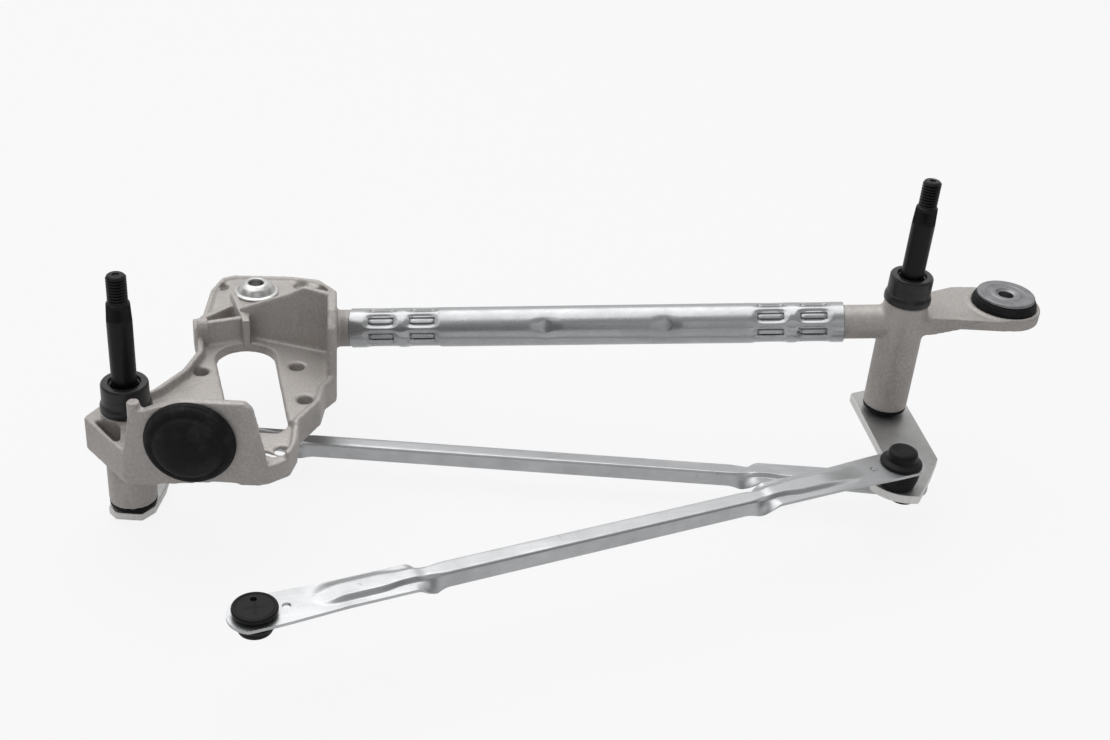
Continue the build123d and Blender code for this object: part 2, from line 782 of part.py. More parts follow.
# Left crank arm
crank_corner_limit = rear_left_ball[1] - left_crank_end_radius
with BuildPart() as left_crank_arm:
    with BuildSketch(Plane.XY.offset(level(-left_crank_thickness))) as arm:
        with BuildLine():
            left_end = CenterArc(
                rear_left_ball, left_crank_end_radius, left_crank_angle - 90.0, 180.0
            )
            Polyline(
                left_end @ 1,
                *left_crank_head,
                left_end @ 0,
            )
        make_face()
        fillet(arm.vertices().filter_by(lambda v: v.Y < crank_corner_limit), crank_corner_radius)
        Circle(spindle_foot_diameter / 2 + press_gap, mode=Mode.SUBTRACT)
        with Locations(rear_left_ball):
            Circle(stud_tail_diameter / 2 + press_gap, mode=Mode.SUBTRACT)
    extrude(amount=left_crank_thickness)
save(left_crank_arm.part, "left_crank_arm")

# Right crank arm: a straight part from the spindle and an end turned to the front link's ball
right_head_points = [(pivot_spacing + point[0], point[1]) for point in right_crank_head]
right_end_points = [(pivot_spacing + point[0], point[1]) for point in right_crank_end]
with BuildPart() as right_crank_arm:
    with BuildSketch(Plane.XY.offset(level(right_rise - right_crank_thickness))) as right_arm:
        with BuildLine():
            ThreePointArc(*right_end_points)
            Polyline(right_end_points[-1], *right_head_points, right_end_points[0])
        make_face()
        fillet(right_arm.vertices(), crank_corner_radius)
        with Locations(right_axis):
            Circle(spindle_foot_diameter / 2 + press_gap, mode=Mode.SUBTRACT)
        with Locations(rear_right_ball, front_right_ball):
            Circle(stud_tail_diameter / 2 + press_gap, mode=Mode.SUBTRACT)
    extrude(amount=right_crank_thickness)
save(right_crank_arm.part, "right_crank_arm")


def make_stud(centre, seat, ball_z, tail_length, gap):
    """Ball stud that stands on a crank's face at seat; a tail passes the crank where it has one."""
    up = 1 if ball_z > seat else -1
    with BuildPart() as stud:
        with BuildSketch(Plane.XZ.offset(-centre[1])):
            with BuildLine():
                x = centre[0]
                foot = seat + up * gap
                collar = foot + up * stud_shoulder_thickness
                neck = stud_neck_diameter / 2
                ball = ball_diameter / 2
                junction = ball_z - up * (ball**2 - neck**2) ** 0.5
                pole = (x, ball_z + up * ball)
                sphere = ThreePointArc((x + neck, junction), (x + ball, ball_z), pole)
                if tail_length > 0:
                    head = foot - up * (tail_length + 2 * gap)
                    root = [
                        (x, head - up * stud_head_height),
                        (x + stud_head_diameter / 2, head - up * stud_head_height),
                        (x + stud_head_diameter / 2, head),
                        (x + stud_tail_diameter / 2, head),
                        (x + stud_tail_diameter / 2, foot),
                    ]
                else:
                    root = [(x, foot)]
                Polyline(
                    pole,
                    *root,
                    (x + stud_shoulder_diameter / 2, foot),
                    (x + stud_shoulder_diameter / 2 - 0.6, collar),
                    (x + neck, collar),
                    (x + neck, junction),
                )
            make_face()
        revolve(axis=Axis((centre[0], centre[1], 0), (0, 0, 1)))
    return stud


rear_ball_z = level(rear_ball_height)
front_ball_z = level(front_ball_height)
front_stud = make_stud(front_right_ball, level(right_rise), front_ball_z, right_crank_thickness, press_gap)
save(front_stud.part, "front_link_ball_stud")
right_crank_under = level(right_rise - right_crank_thickness)
rear_stud = make_stud(rear_right_ball, right_crank_under, rear_ball_z, right_crank_thickness, press_gap)
save(rear_stud.part, "rear_link_ball_stud")
# The left ball stud rides with the rear link: here the closed linkage is opened
left_stud = make_stud(rear_left_ball, level(0), rear_ball_z, 0.0, body_gap)
save(left_stud.part, "left_ball_stud")

# Riveted tail of the left ball stud, in the left crank
with BuildPart() as left_stud_tail:
    with BuildSketch(Plane.XY.offset(level(-left_crank_thickness) - press_gap)):
        with Locations(rear_left_ball):
            Circle(stud_tail_diameter / 2)
    extrude(amount=left_crank_thickness + press_gap)
    with BuildSketch(Plane.XY.offset(level(-left_crank_thickness) - press_gap)):
        with Locations(rear_left_ball):
            Circle(stud_head_diameter / 2)
    extrude(amount=-stud_head_height)
save(left_stud_tail.part, "left_stud_tail")


def make_socket(centre, ball_z, up):
    """Ball socket clipped in a link's end: flange and dome on one side, ball mouth on the other."""
    with BuildPart() as socket:
        with BuildSketch(Plane.XZ.offset(-centre[1])):
            with BuildLine():
                x = centre[0]
                cavity = ball_diameter / 2 + ball_fit
                face = ball_z + up * sheet / 2 + up * press_gap
                back = ball_z - up * sheet / 2 - up * press_gap
                flange_top = face + up * socket_flange_thickness
                dome = socket_dome_diameter / 2
                mouth = back - up * 1.0
                mouth_radius = (cavity**2 - (mouth - ball_z) ** 2) ** 0.5
                dome_top = flange_top + up * socket_dome_height
                Polyline((x, ball_z + up * cavity), (x, dome_top), (x + dome - socket_dome_round, dome_top))
                RadiusArc(
                    (x + dome - socket_dome_round, dome_top),
                    (x + dome, dome_top - up * socket_dome_round),
                    up * socket_dome_round,
                )
                Polyline(
                    (x + dome, dome_top - up * socket_dome_round),
                    (x + dome, flange_top),
                    (x + socket_flange_diameter / 2, flange_top),
                    (x + socket_flange_diameter / 2, face),
                    (x + socket_neck_diameter / 2, face),
                    (x + socket_neck_diameter / 2, back),
                    (x + socket_neck_diameter / 2 - 0.2, mouth),
                    (x + mouth_radius, mouth),
                )
                ThreePointArc((x + mouth_radius, mouth), (x + cavity, ball_z), (x, ball_z + up * cavity))
            make_face()
        revolve(axis=Axis((centre[0], centre[1], 0), (0, 0, 1)))
    return socket


def make_boot(centre, ball_z, up, length, small_bore):
    """Rubber boot below a socket: a thin cone from the link's plate towards the stud's collar."""
    with BuildPart() as boot:
        with BuildSketch(Plane.XZ.offset(-centre[1])):
            with BuildLine():
                x = centre[0]
                plate = ball_z - up * (sheet / 2 + press_gap)
                wide = socket_flange_diameter / 2
                Polyline(
                    (x + wide - boot_wall, plate),
                    (x + wide, plate),
                    (x + wide, plate - up * 1.4),
                    (x + boot_small_diameter / 2 + boot_wall, plate - up * (length - 1.2)),
                    (x + boot_small_diameter / 2, plate - up * length),
                    (x + small_bore, plate - up * length),
                    (x + small_bore, plate - up * (length - boot_wall)),
                    (x + boot_small_diameter / 2 - 0.2, plate - up * (length - boot_wall)),
                    (x + wide - boot_wall, plate - up * 1.6),
                    close=True,
                )
            make_face()
        revolve(axis=Axis((centre[0], centre[1], 0), (0, 0, 1)))
    return boot


# Sockets and boots. up says on which side of the link the socket's dome stands.
boot_room = rear_ball_height - sheet / 2 - press_gap - body_gap
collar_bore = stud_shoulder_diameter / 2 + body_gap
for name, centre, ball_z, up, bore in (
    ("rear_link_left", rear_left_ball, rear_ball_z, 1, stud_shoulder_diameter / 2 + press_gap),
    ("rear_link_right", rear_right_ball, rear_ball_z, -1, collar_bore),
    ("front_link_right", front_right_ball, front_ball_z, 1, collar_bore),
):
    save(make_socket(centre, ball_z, up).part, name + "_socket")
    save(make_boot(centre, ball_z, up, boot_room, bore).part, name + "_boot")
save(make_socket(front_free_ball, front_ball_z, -1).part, "front_link_free_socket")

# Cover over the free socket's mouth, a low disc with a rounded edge and a small centre hole
cover_foot = front_ball_z + sheet / 2 + press_gap
with BuildPart() as front_link_free_cover:
    with BuildSketch(Plane.XZ.offset(-front_free_ball[1])):
        with BuildLine():
            x = front_free_ball[0]
            cover_top = cover_foot + cover_thickness
            rim = x + cover_diameter / 2
            Polyline(
                (rim - cover_round, cover_top),
                (x + cover_hole_diameter / 2, cover_top),
                (x + cover_hole_diameter / 2, cover_foot + 1.0),
                (x + socket_neck_diameter / 2 + press_gap, cover_foot + 1.0),
                (x + socket_neck_diameter / 2 + press_gap, cover_foot),
                (rim, cover_foot),
                (rim, cover_top - cover_round),
            )
            RadiusArc((rim, cover_top - cover_round), (rim - cover_round, cover_top), -cover_round)
        make_face()
    revolve(axis=Axis((front_free_ball[0], front_free_ball[1], 0), (0, 0, 1)))
save(front_link_free_cover.part, "front_link_free_cover")


def section_plane(frame, distance):
    """Plane across a link at a distance along it; its sketch runs across and up."""
    return Plane(origin=frame.from_local_coords((distance, 0, 0)), x_dir=frame.y_dir, z_dir=frame.x_dir)


def hat(frame, distance, width, foot, top, shoulder):
    """Section of a link's rib, from foot to top above the ball plane, with rounded shoulders."""
    with BuildSketch(section_plane(frame, distance)) as section:
        with Locations((0, (foot + top) / 2)):
            Rectangle(width, top - foot)
        fillet(section.vertices().group_by(Axis.Y)[-1], shoulder)
    return section.sketch


def side_block(frame, distance, half_width, foot, top, side):
    """Section of one side's folded flange, a channel wall thick."""
    inner = half_width - channel_wall
    points = [(side * inner, foot), (side * half_width, foot), (side * half_width, top), (side * inner, top)]
    return filled(section_plane(frame, distance), points)


def make_link(left_ball, right_ball, height, ends):
    """Channel link between two balls; ends holds rib start, flare and hole distance of each end."""
    run = Vector(right_ball[0] - left_ball[0], right_ball[1] - left_ball[1], 0)
    length = run.length
    crown = crown_rise + sheet / 2
    plate_foot = -sheet / 2
    wall_foot = crown - channel_depth
    left_frame = Plane(origin=(left_ball[0], left_ball[1], level(height)), x_dir=run, z_dir=(0, 0, 1))
    right_frame = Plane(origin=(right_ball[0], right_ball[1], level(height)), x_dir=-run, z_dir=(0, 0, 1))
    with BuildPart() as link:
        # Middle run, an inverted channel with rounded shoulders
        with BuildSketch(section_plane(left_frame, ends[0][1])) as channel:
            with Locations((0, crown - channel_depth / 2)):
                Rectangle(channel_width, channel_depth)
            fillet(channel.vertices().group_by(Axis.Y)[-1], shoulder_radius)
            with Locations((0, crown - channel_wall - channel_depth / 2)):
                Rectangle(channel_width - 2 * channel_wall, channel_depth, mode=Mode.SUBTRACT)
        extrude(amount=length - ends[0][1] - ends[1][1])
        for frame, (rib_start, flare, hole) in ((left_frame, ends[0]), (right_frame, ends[1])):
            # Flat strap from the round end to the flare
            plate_plane = frame.offset(plate_foot)
            half_strap = link_strap_width / 2
            strap = [
                (6.0, -link_end_radius + 1.6),
                (strap_start, -half_strap),
                (flare - flare_length, -half_strap),
                (flare + flare_overlap, -channel_width / 2),
                (flare + flare_overlap, channel_width / 2),
                (flare - flare_length, half_strap),
                (strap_start, half_strap),
                (6.0, link_end_radius - 1.6),
            ]
            extrude(filled(plate_plane, strap), amount=sheet)
            extrude(disc(plate_plane, 2 * link_end_radius), amount=sheet)
            # Hollow rib, with a sloped tip, that runs into the channel's crown
            rib_full = rib_start + rib_tip_length
            rib_top = sheet / 2 + rib_rise
            tip_top = sheet / 2 + rib_tip_rise
            loft([
                hat(frame, rib_start, rib_tip_width, plate_foot, tip_top, rib_shoulder_radius),
                hat(frame, rib_full, rib_width, plate_foot, rib_top, rib_shoulder_radius),
            ])
            loft([
                hat(frame, rib_full, rib_width, plate_foot, rib_top, rib_shoulder_radius),
                hat(frame, flare, channel_width, plate_foot, crown, shoulder_radius),
            ])
            rib_hollow = rib_width - 2 * channel_wall
            channel_hollow = channel_width - 2 * channel_wall
            loft([
                hat(frame, rib_full + rib_closed, rib_hollow, plate_foot - sheet, rib_top - channel_wall, 0.2),
                hat(frame, flare, channel_hollow, plate_foot - sheet, crown - channel_wall, 0.2),
            ], mode=Mode.SUBTRACT)
            # Strap edges folded down into the channel's walls
            for side in (-1, 1):
                sections = []
                for distance, half_width, foot in (
                    (flare - flare_length, half_strap, plate_foot - 0.1),
                    (flare - flare_length / 2, half_strap - flare_draw, wall_foot),
                    (flare + flare_overlap, channel_width / 2, wall_foot),
                ):
                    sections.append(side_block(frame, distance, half_width, foot, sheet / 2, side))
                loft(sections, ruled=True)
            # Hole for the socket and the small hole beside it
            extrude(disc(plate_plane, socket_neck_diameter + 2 * press_gap), amount=sheet, mode=Mode.SUBTRACT)
            extrude(disc(plate_plane, link_hole_diameter, (hole, 0)), amount=sheet, mode=Mode.SUBTRACT)
    return link


link_ends = ((left_end_rib, left_end_flare, left_end_hole), (right_end_rib, right_end_flare, right_end_hole))
rear_link = make_link(rear_left_ball, rear_right_ball, rear_ball_height, link_ends)
save(rear_link.part, "rear_link")
front_link = make_link(front_free_ball, front_right_ball, front_ball_height, link_ends)
save(front_link.part, "front_link")
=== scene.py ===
import bmesh
import bpy
import numpy as np
from bpy.props import FloatProperty, FloatVectorProperty, IntProperty, PointerProperty
from mathutils import Matrix, Vector


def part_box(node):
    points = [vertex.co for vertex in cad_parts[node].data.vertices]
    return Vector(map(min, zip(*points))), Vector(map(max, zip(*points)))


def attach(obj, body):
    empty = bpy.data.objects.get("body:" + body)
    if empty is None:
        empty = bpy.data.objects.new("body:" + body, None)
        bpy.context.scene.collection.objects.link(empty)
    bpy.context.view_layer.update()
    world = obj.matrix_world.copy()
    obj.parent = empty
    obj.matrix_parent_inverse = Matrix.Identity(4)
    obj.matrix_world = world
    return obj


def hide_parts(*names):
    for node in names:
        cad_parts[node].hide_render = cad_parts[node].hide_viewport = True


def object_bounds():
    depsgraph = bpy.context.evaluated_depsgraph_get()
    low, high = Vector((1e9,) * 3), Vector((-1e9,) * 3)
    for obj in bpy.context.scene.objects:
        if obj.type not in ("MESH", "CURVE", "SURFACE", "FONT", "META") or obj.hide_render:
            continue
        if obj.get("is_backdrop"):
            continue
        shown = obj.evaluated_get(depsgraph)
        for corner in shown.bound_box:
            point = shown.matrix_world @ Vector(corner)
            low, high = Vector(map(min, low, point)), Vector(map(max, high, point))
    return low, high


bl_info = {
    "name": "Wiper linkage dresser",
    "version": (1, 0, 0),
    "blender": (4, 5, 0),
    "location": "3D View > Sidebar > Linkage",
    "description": "Pressed links, crimped tube, spindles, rubber pieces and metal finishes of a wiper linkage",
    "category": "Object",
}

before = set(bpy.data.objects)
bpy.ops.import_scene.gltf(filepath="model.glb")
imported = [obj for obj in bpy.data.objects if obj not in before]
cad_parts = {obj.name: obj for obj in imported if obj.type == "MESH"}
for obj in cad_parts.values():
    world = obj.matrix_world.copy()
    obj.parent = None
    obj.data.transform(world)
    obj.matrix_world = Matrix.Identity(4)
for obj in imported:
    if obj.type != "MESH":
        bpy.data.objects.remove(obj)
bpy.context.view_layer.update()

MM = 0.001
FULL_TURN = 2 * np.pi
MERGE_DISTANCE = 2e-6
SHARP_ANGLE = np.radians(40.0)
WHITE = (1.0, 1.0, 1.0, 1.0)

# Heights in millimetres above the left crank's top face. The row frame's zero is the left shoulder.
# The deck's top is at 45: the domed collar sits just above it, and the cast webs start inside it.
LEFT_SHOULDER, RIGHT_SHOULDER = 96.2, 126.4
LEFT_CRANK_TOP, RIGHT_CRANK_TOP = 0.0, 23.5
LEFT_BOSS_TOP, RIGHT_BOSS_TOP = 47.2, 80.6
EAR_UNDERSIDE, EAR_TOP = 70.0, 75.0
COLLAR_SEAT, WEB_FOOT = 45.02, 43.0

# Places in the row frame, in millimetres: the right spindle, and the tube's axis from the tube's left
# end to the point where it meets the right spindle's axis.
RIGHT_AXIS_X = 335.0
TUBE_START = np.array((98.9, 73.1, 38.1 - LEFT_SHOULDER))
TUBE_MEETING = np.array((RIGHT_AXIS_X, 0.0, 70.0 - LEFT_SHOULDER))

# The CAD nodes that each new piece stands for, filled in by place() and read by coat().
stands_for = {}


def height(value):
    """Row height in metres of a height in millimetres above the left crank's top face."""
    return (value - LEFT_SHOULDER) * MM


def box_centre(node):
    """Middle of a CAD node's box, in metres."""
    low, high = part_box(node)
    return np.array((low + high) / 2)


def smooth_step(low, high, x):
    """0 below low, 1 above high, and 3t^2 - 2t^3 between them, where t is the share of the way."""
    t = np.clip((x - low) / (high - low), 0.0, 1.0)
    return t * t * (3.0 - 2.0 * t)


def rounded_profile(corners, radius, steps=5):
    """Polyline of (r, z) corners in which each inner corner becomes a quadratic curve.

    The curve starts and ends at the corner's radius, or half the shorter side, away from the corner:
    (1-t)^2 A + 2t(1-t) P + t^2 B.
    """
    points = np.array(corners, float)
    before, corner, after = points[:-2], points[1:-1], points[2:]
    into, out = before - corner, after - corner
    into_length = np.linalg.norm(into, axis=1, keepdims=True)
    out_length = np.linalg.norm(out, axis=1, keepdims=True)
    reach = np.minimum(np.broadcast_to(np.atleast_1d(radius)[:, None], into_length.shape),
                       0.49 * np.minimum(into_length, out_length))
    start = corner + into / into_length * reach
    end = corner + out / out_length * reach
    t = np.linspace(0.0, 1.0, steps)[None, :, None]
    curve = (1 - t) ** 2 * start[:, None] + 2 * t * (1 - t) * corner[:, None] + t**2 * end[:, None]
    return np.concatenate([points[:1], curve.reshape(-1, 2), points[-1:]])


def ring_faces(index):
    """Quads of a grid of point numbers, whose last column joins the first."""
    index = np.concatenate([index, index[:, :1]], axis=1)
    corners = [index[:-1, :-1], index[:-1, 1:], index[1:, 1:], index[1:, :-1]]
    return np.stack(corners, axis=-1).reshape(-1, 4).tolist()


def surface_mesh(name, grid, body, replaced=(), recess_shade=None):
    """Object from a grid of points[row, column] in metres, whose last column joins the first.

    recess, where given, is a number from 0 to 1 per point, kept as an attribute for the material.
    """
    rows, columns = grid.shape[:2]
    mesh = bpy.data.meshes.new(name)
    faces = ring_faces(np.arange(rows * columns).reshape(rows, columns))
    mesh.from_pydata(grid.reshape(-1, 3).tolist(), [], faces)
    if recess_shade is not None:
        # The attribute marks where the material paints shade.
        mesh.attributes.new("recess_shade", "FLOAT", "POINT").data.foreach_set("value", recess_shade.ravel())
    finish_mesh(mesh)
    return place(name, mesh, body, replaced)


def finish_mesh(mesh):
    """Merges seams and poles, turns the faces outwards and shades smooth up to an angle."""
    work = bmesh.new()
    work.from_mesh(mesh)
    bmesh.ops.remove_doubles(work, verts=work.verts, dist=MERGE_DISTANCE)
    bmesh.ops.recalc_face_normals(work, faces=work.faces)
    work.to_mesh(mesh)
    work.free()
    mesh.shade_smooth()
    mesh.set_sharp_from_angle(angle=SHARP_ANGLE)
    mesh.update()


def place(name, mesh, body, replaced):
    """Links an object at the origin, rides it on its body and names what it stands for."""
    stands_for[name] = replaced
    piece = bpy.data.objects.new(name, mesh)
    bpy.context.scene.collection.objects.link(piece)
    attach(piece, body)
    if replaced:
        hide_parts(*replaced)
    return piece


def revolved(name, profile, centre, body, replaced=(), axis=(0, 0, 1), columns=96, relief=None):
    """Surface of revolution: point = centre + r (cos a u + sin a v) + z axis, for each (r, z) in mm.

    relief(r, z, a), where given, returns the r and z that replace them, so that a thread, splines or
    a seam can stand on the turned form.
    """
    w = np.array(axis, float)
    w /= np.linalg.norm(w)
    u = np.cross((0.0, 0.0, 1.0), w) if abs(w[2]) < 0.9 else np.array((1.0, 0.0, 0.0))
    u /= np.linalg.norm(u)
    v = np.cross(w, u)
    a = np.linspace(0.0, FULL_TURN, columns, endpoint=False)[None, :]
    r = np.repeat(profile[:, :1], columns, axis=1)
    z = np.repeat(profile[:, 1:], columns, axis=1)
    if relief is not None:
        r, z = relief(r, z, a)
    grid = (np.array(centre)[None, None, :]
            + MM * ((r * np.cos(a))[..., None] * u + (r * np.sin(a))[..., None] * v + z[..., None] * w))
    return surface_mesh(name, grid, body, replaced)


def spindle_surface(side, foot, under, crank_top, shoulder, sizes):
    """Threaded spindle: r follows the turned profile, plus splines on the taper and the thread.

    Splines: r + depth |sin(n a)|. Thread: r - depth (1 - tooth), where tooth is a triangle wave of
    z / pitch - a / 2 pi with a flattened crest, faded in and out over one pitch.
    """
    base = box_centre(side + "_spindle")
    base[2] = height(shoulder)
    head, seat, shaft, thread_crest, thread_root = 6.25, 4.9, 5.0, 3.98, 3.6
    low, top = foot - shoulder, crank_top - shoulder
    taper_length, thread_length = sizes.taper_length, sizes.thread_length
    corners = [(0, low), (5.3, low), (head, low + 0.8), (head, under - shoulder), (seat, under - shoulder),
               (seat, top + 2.0), (shaft, top + 2.4), (shaft, -taper_length - 0.5)]
    taper_z = np.linspace(-taper_length, -0.9, 12)
    taper_r = 4.95 - 0.38 * (taper_z + taper_length) / taper_length
    thread_z = np.linspace(0.0, thread_length - 0.9, 118)
    tip = [(3.55, thread_length - 0.45), (3.1, thread_length - 0.05), (2.9, thread_length),
           (1.4, thread_length), (1.2, thread_length - 0.5), (0.0, thread_length - 0.9)]
    profile = np.concatenate([rounded_profile(corners, 0.4, 4), np.stack([taper_r, taper_z], axis=1),
                              [(4.25, -0.35), (3.7, -0.1)],
                              np.stack([np.full_like(thread_z, thread_crest), thread_z], axis=1), tip])

    def relief(r, z, a):
        on_taper = smooth_step(-taper_length, -taper_length + 0.7, z) * smooth_step(-0.7, -1.3, z)
        r = r - sizes.spline_depth * on_taper * np.abs(np.sin(0.5 * sizes.spline_count * a))
        turn = (z / sizes.thread_pitch - a / FULL_TURN) % 1.0
        tooth = np.clip(1.25 * (1.0 - np.abs(2.0 * turn - 1.0)) * 1.05, 0.0, 1.0)
        on_thread = smooth_step(0.1, 1.0, z) * smooth_step(thread_length - 0.3, thread_length - 1.3, z)
        inside = (z > 0.0) & (r > thread_root)
        return r - np.where(inside, sizes.thread_depth * on_thread * (1.0 - tooth), 0.0), z

    revolved(side + "_threaded_spindle", profile, base, side + "_crank",
             (side + "_spindle",), columns=4 * sizes.spline_count, relief=relief)


def oblong(run, arc, half_run, half_arc, power):
    """((run/p)^n + (arc/q)^n)^(1/n), which is 1 on the rim of a rounded rectangle."""
    return ((run / half_run) ** power + (arc / half_arc) ** power) ** (1.0 / power)


def tube_surface(sizes):
    """Crimped tube: radius = R - crimps - dimples over (distance s, angle a), with turned-in ends.

    A crimp is a pocket over the rounded rectangle (|s|/p)^n + (|arc|/q)^n < 1, with a narrower and
    sharper one in its floor that leaves a raised tongue in its own middle. A dimple is a wide dish, a
    raised cosine of the distance from its middle, with a small round flat pressed in it.
    """
    along = TUBE_MEETING - TUBE_START
    end_gap = 26.2
    length = np.linalg.norm(along) - end_gap
    along /= np.linalg.norm(along)
    across = np.cross((0.0, 0.0, 1.0), along)
    across /= np.linalg.norm(across)
    up = np.cross(along, across)
    crimp_rows = (14.7, 33.7, length - 32.3, length - 13.3)
    crimp_turns = np.radians((79.0, 131.0, 183.0, 235.0))
    dimple_rows, dimple_turn = (0.405 * length, 0.648 * length), np.radians(154.0)
    slot_end = np.arange(-3, 4) * 0.12
    steps = [np.linspace(0.0, length, 48)]
    for row in crimp_rows:
        steps += [np.arange(row - 9.6, row + 9.6, 0.6), row - 5.8 + slot_end, row + 5.8 + slot_end]
    steps += [np.arange(row - 8.0, row + 8.0, 0.4) for row in dimple_rows]
    s = np.unique(np.concatenate(steps).round(2))
    a = np.linspace(0.0, FULL_TURN, 300, endpoint=False)
    grid_s, grid_a = np.meshgrid(s, a, indexing="ij")
    radius = np.full_like(grid_s, sizes.tube_radius)
    recess_shade = np.zeros_like(radius)

    def arc_from(turn):
        """Distance round the tube from the line at an angle, in mm."""
        return sizes.tube_radius * ((grid_a - turn + np.pi) % FULL_TURN - np.pi)

    # A crimp's pocket, slot and tongue have these half lengths along the tube and half widths round it.
    pocket_half, slot_half, tongue_half = (7.6, 3.5), (5.9, 1.95), (5.2, 1.1)
    for row in crimp_rows:
        for turn in crimp_turns:
            run, arc = np.abs(grid_s - row), np.abs(arc_from(turn))
            near = (run < 9.0) & (arc < 4.5)
            run, arc = run[near], arc[near]
            pocket = smooth_step(1.12, 0.66, oblong(run, arc, *pocket_half, 4))
            slot = smooth_step(1.03, 0.93, oblong(run, arc, *slot_half, 8))
            tongue = smooth_step(1.2, 0.85, oblong(run, arc, *tongue_half, 8))
            radius[near] -= sizes.crimp_depth * pocket + sizes.crimp_slot_depth * (slot - 0.8 * tongue)
            # Painted shade mask: 1 on the slot's floor round the tongue, where shade falls in the crimp.
            recess_shade[near] = np.maximum(recess_shade[near], slot * (1.0 - tongue))
    dish_radius, flat_depth = 8.0, 0.12
    for row in dimple_rows:
        away = np.hypot(arc_from(dimple_turn), grid_s - row)
        dish = 0.5 + 0.5 * np.cos(np.pi * np.clip(away / dish_radius, 0.0, 1.0))
        radius -= sizes.dimple_depth * dish + flat_depth * smooth_step(2.9, 2.4, away)

    # The wall turns in at both ends, by rows of (depth below the wall, distance from the end), and the
    # last row joins the first inside the tube.
    lip = np.array([(0.25, 0.0), (1.2, 0.0), (1.3, 3.0)])
    lip_r = (sizes.tube_radius - lip[:, :1]) * np.ones_like(a)
    first_s, last_s = lip[::-1, 1:] * np.ones_like(a), (length - lip[:, 1:]) * np.ones_like(a)
    grid_s[0] += lip[0, 0]
    grid_s[-1] -= lip[0, 0]
    radius = np.concatenate([lip_r[::-1], radius, lip_r, lip_r[-1:]])
    recess_shade = np.concatenate([np.zeros_like(lip_r), recess_shade, np.zeros_like(lip_r), np.zeros_like(lip_r[:1])])
    grid_s = np.concatenate([first_s, grid_s, last_s, first_s[:1]])
    angle = np.broadcast_to(a, radius.shape)
    grid = MM * (TUBE_START + grid_s[..., None] * along
                 + (radius * np.cos(angle))[..., None] * across + (radius * np.sin(angle))[..., None] * up)
    surface_mesh("crimped_tube", grid, "frame", ("frame_tube",), recess_shade)


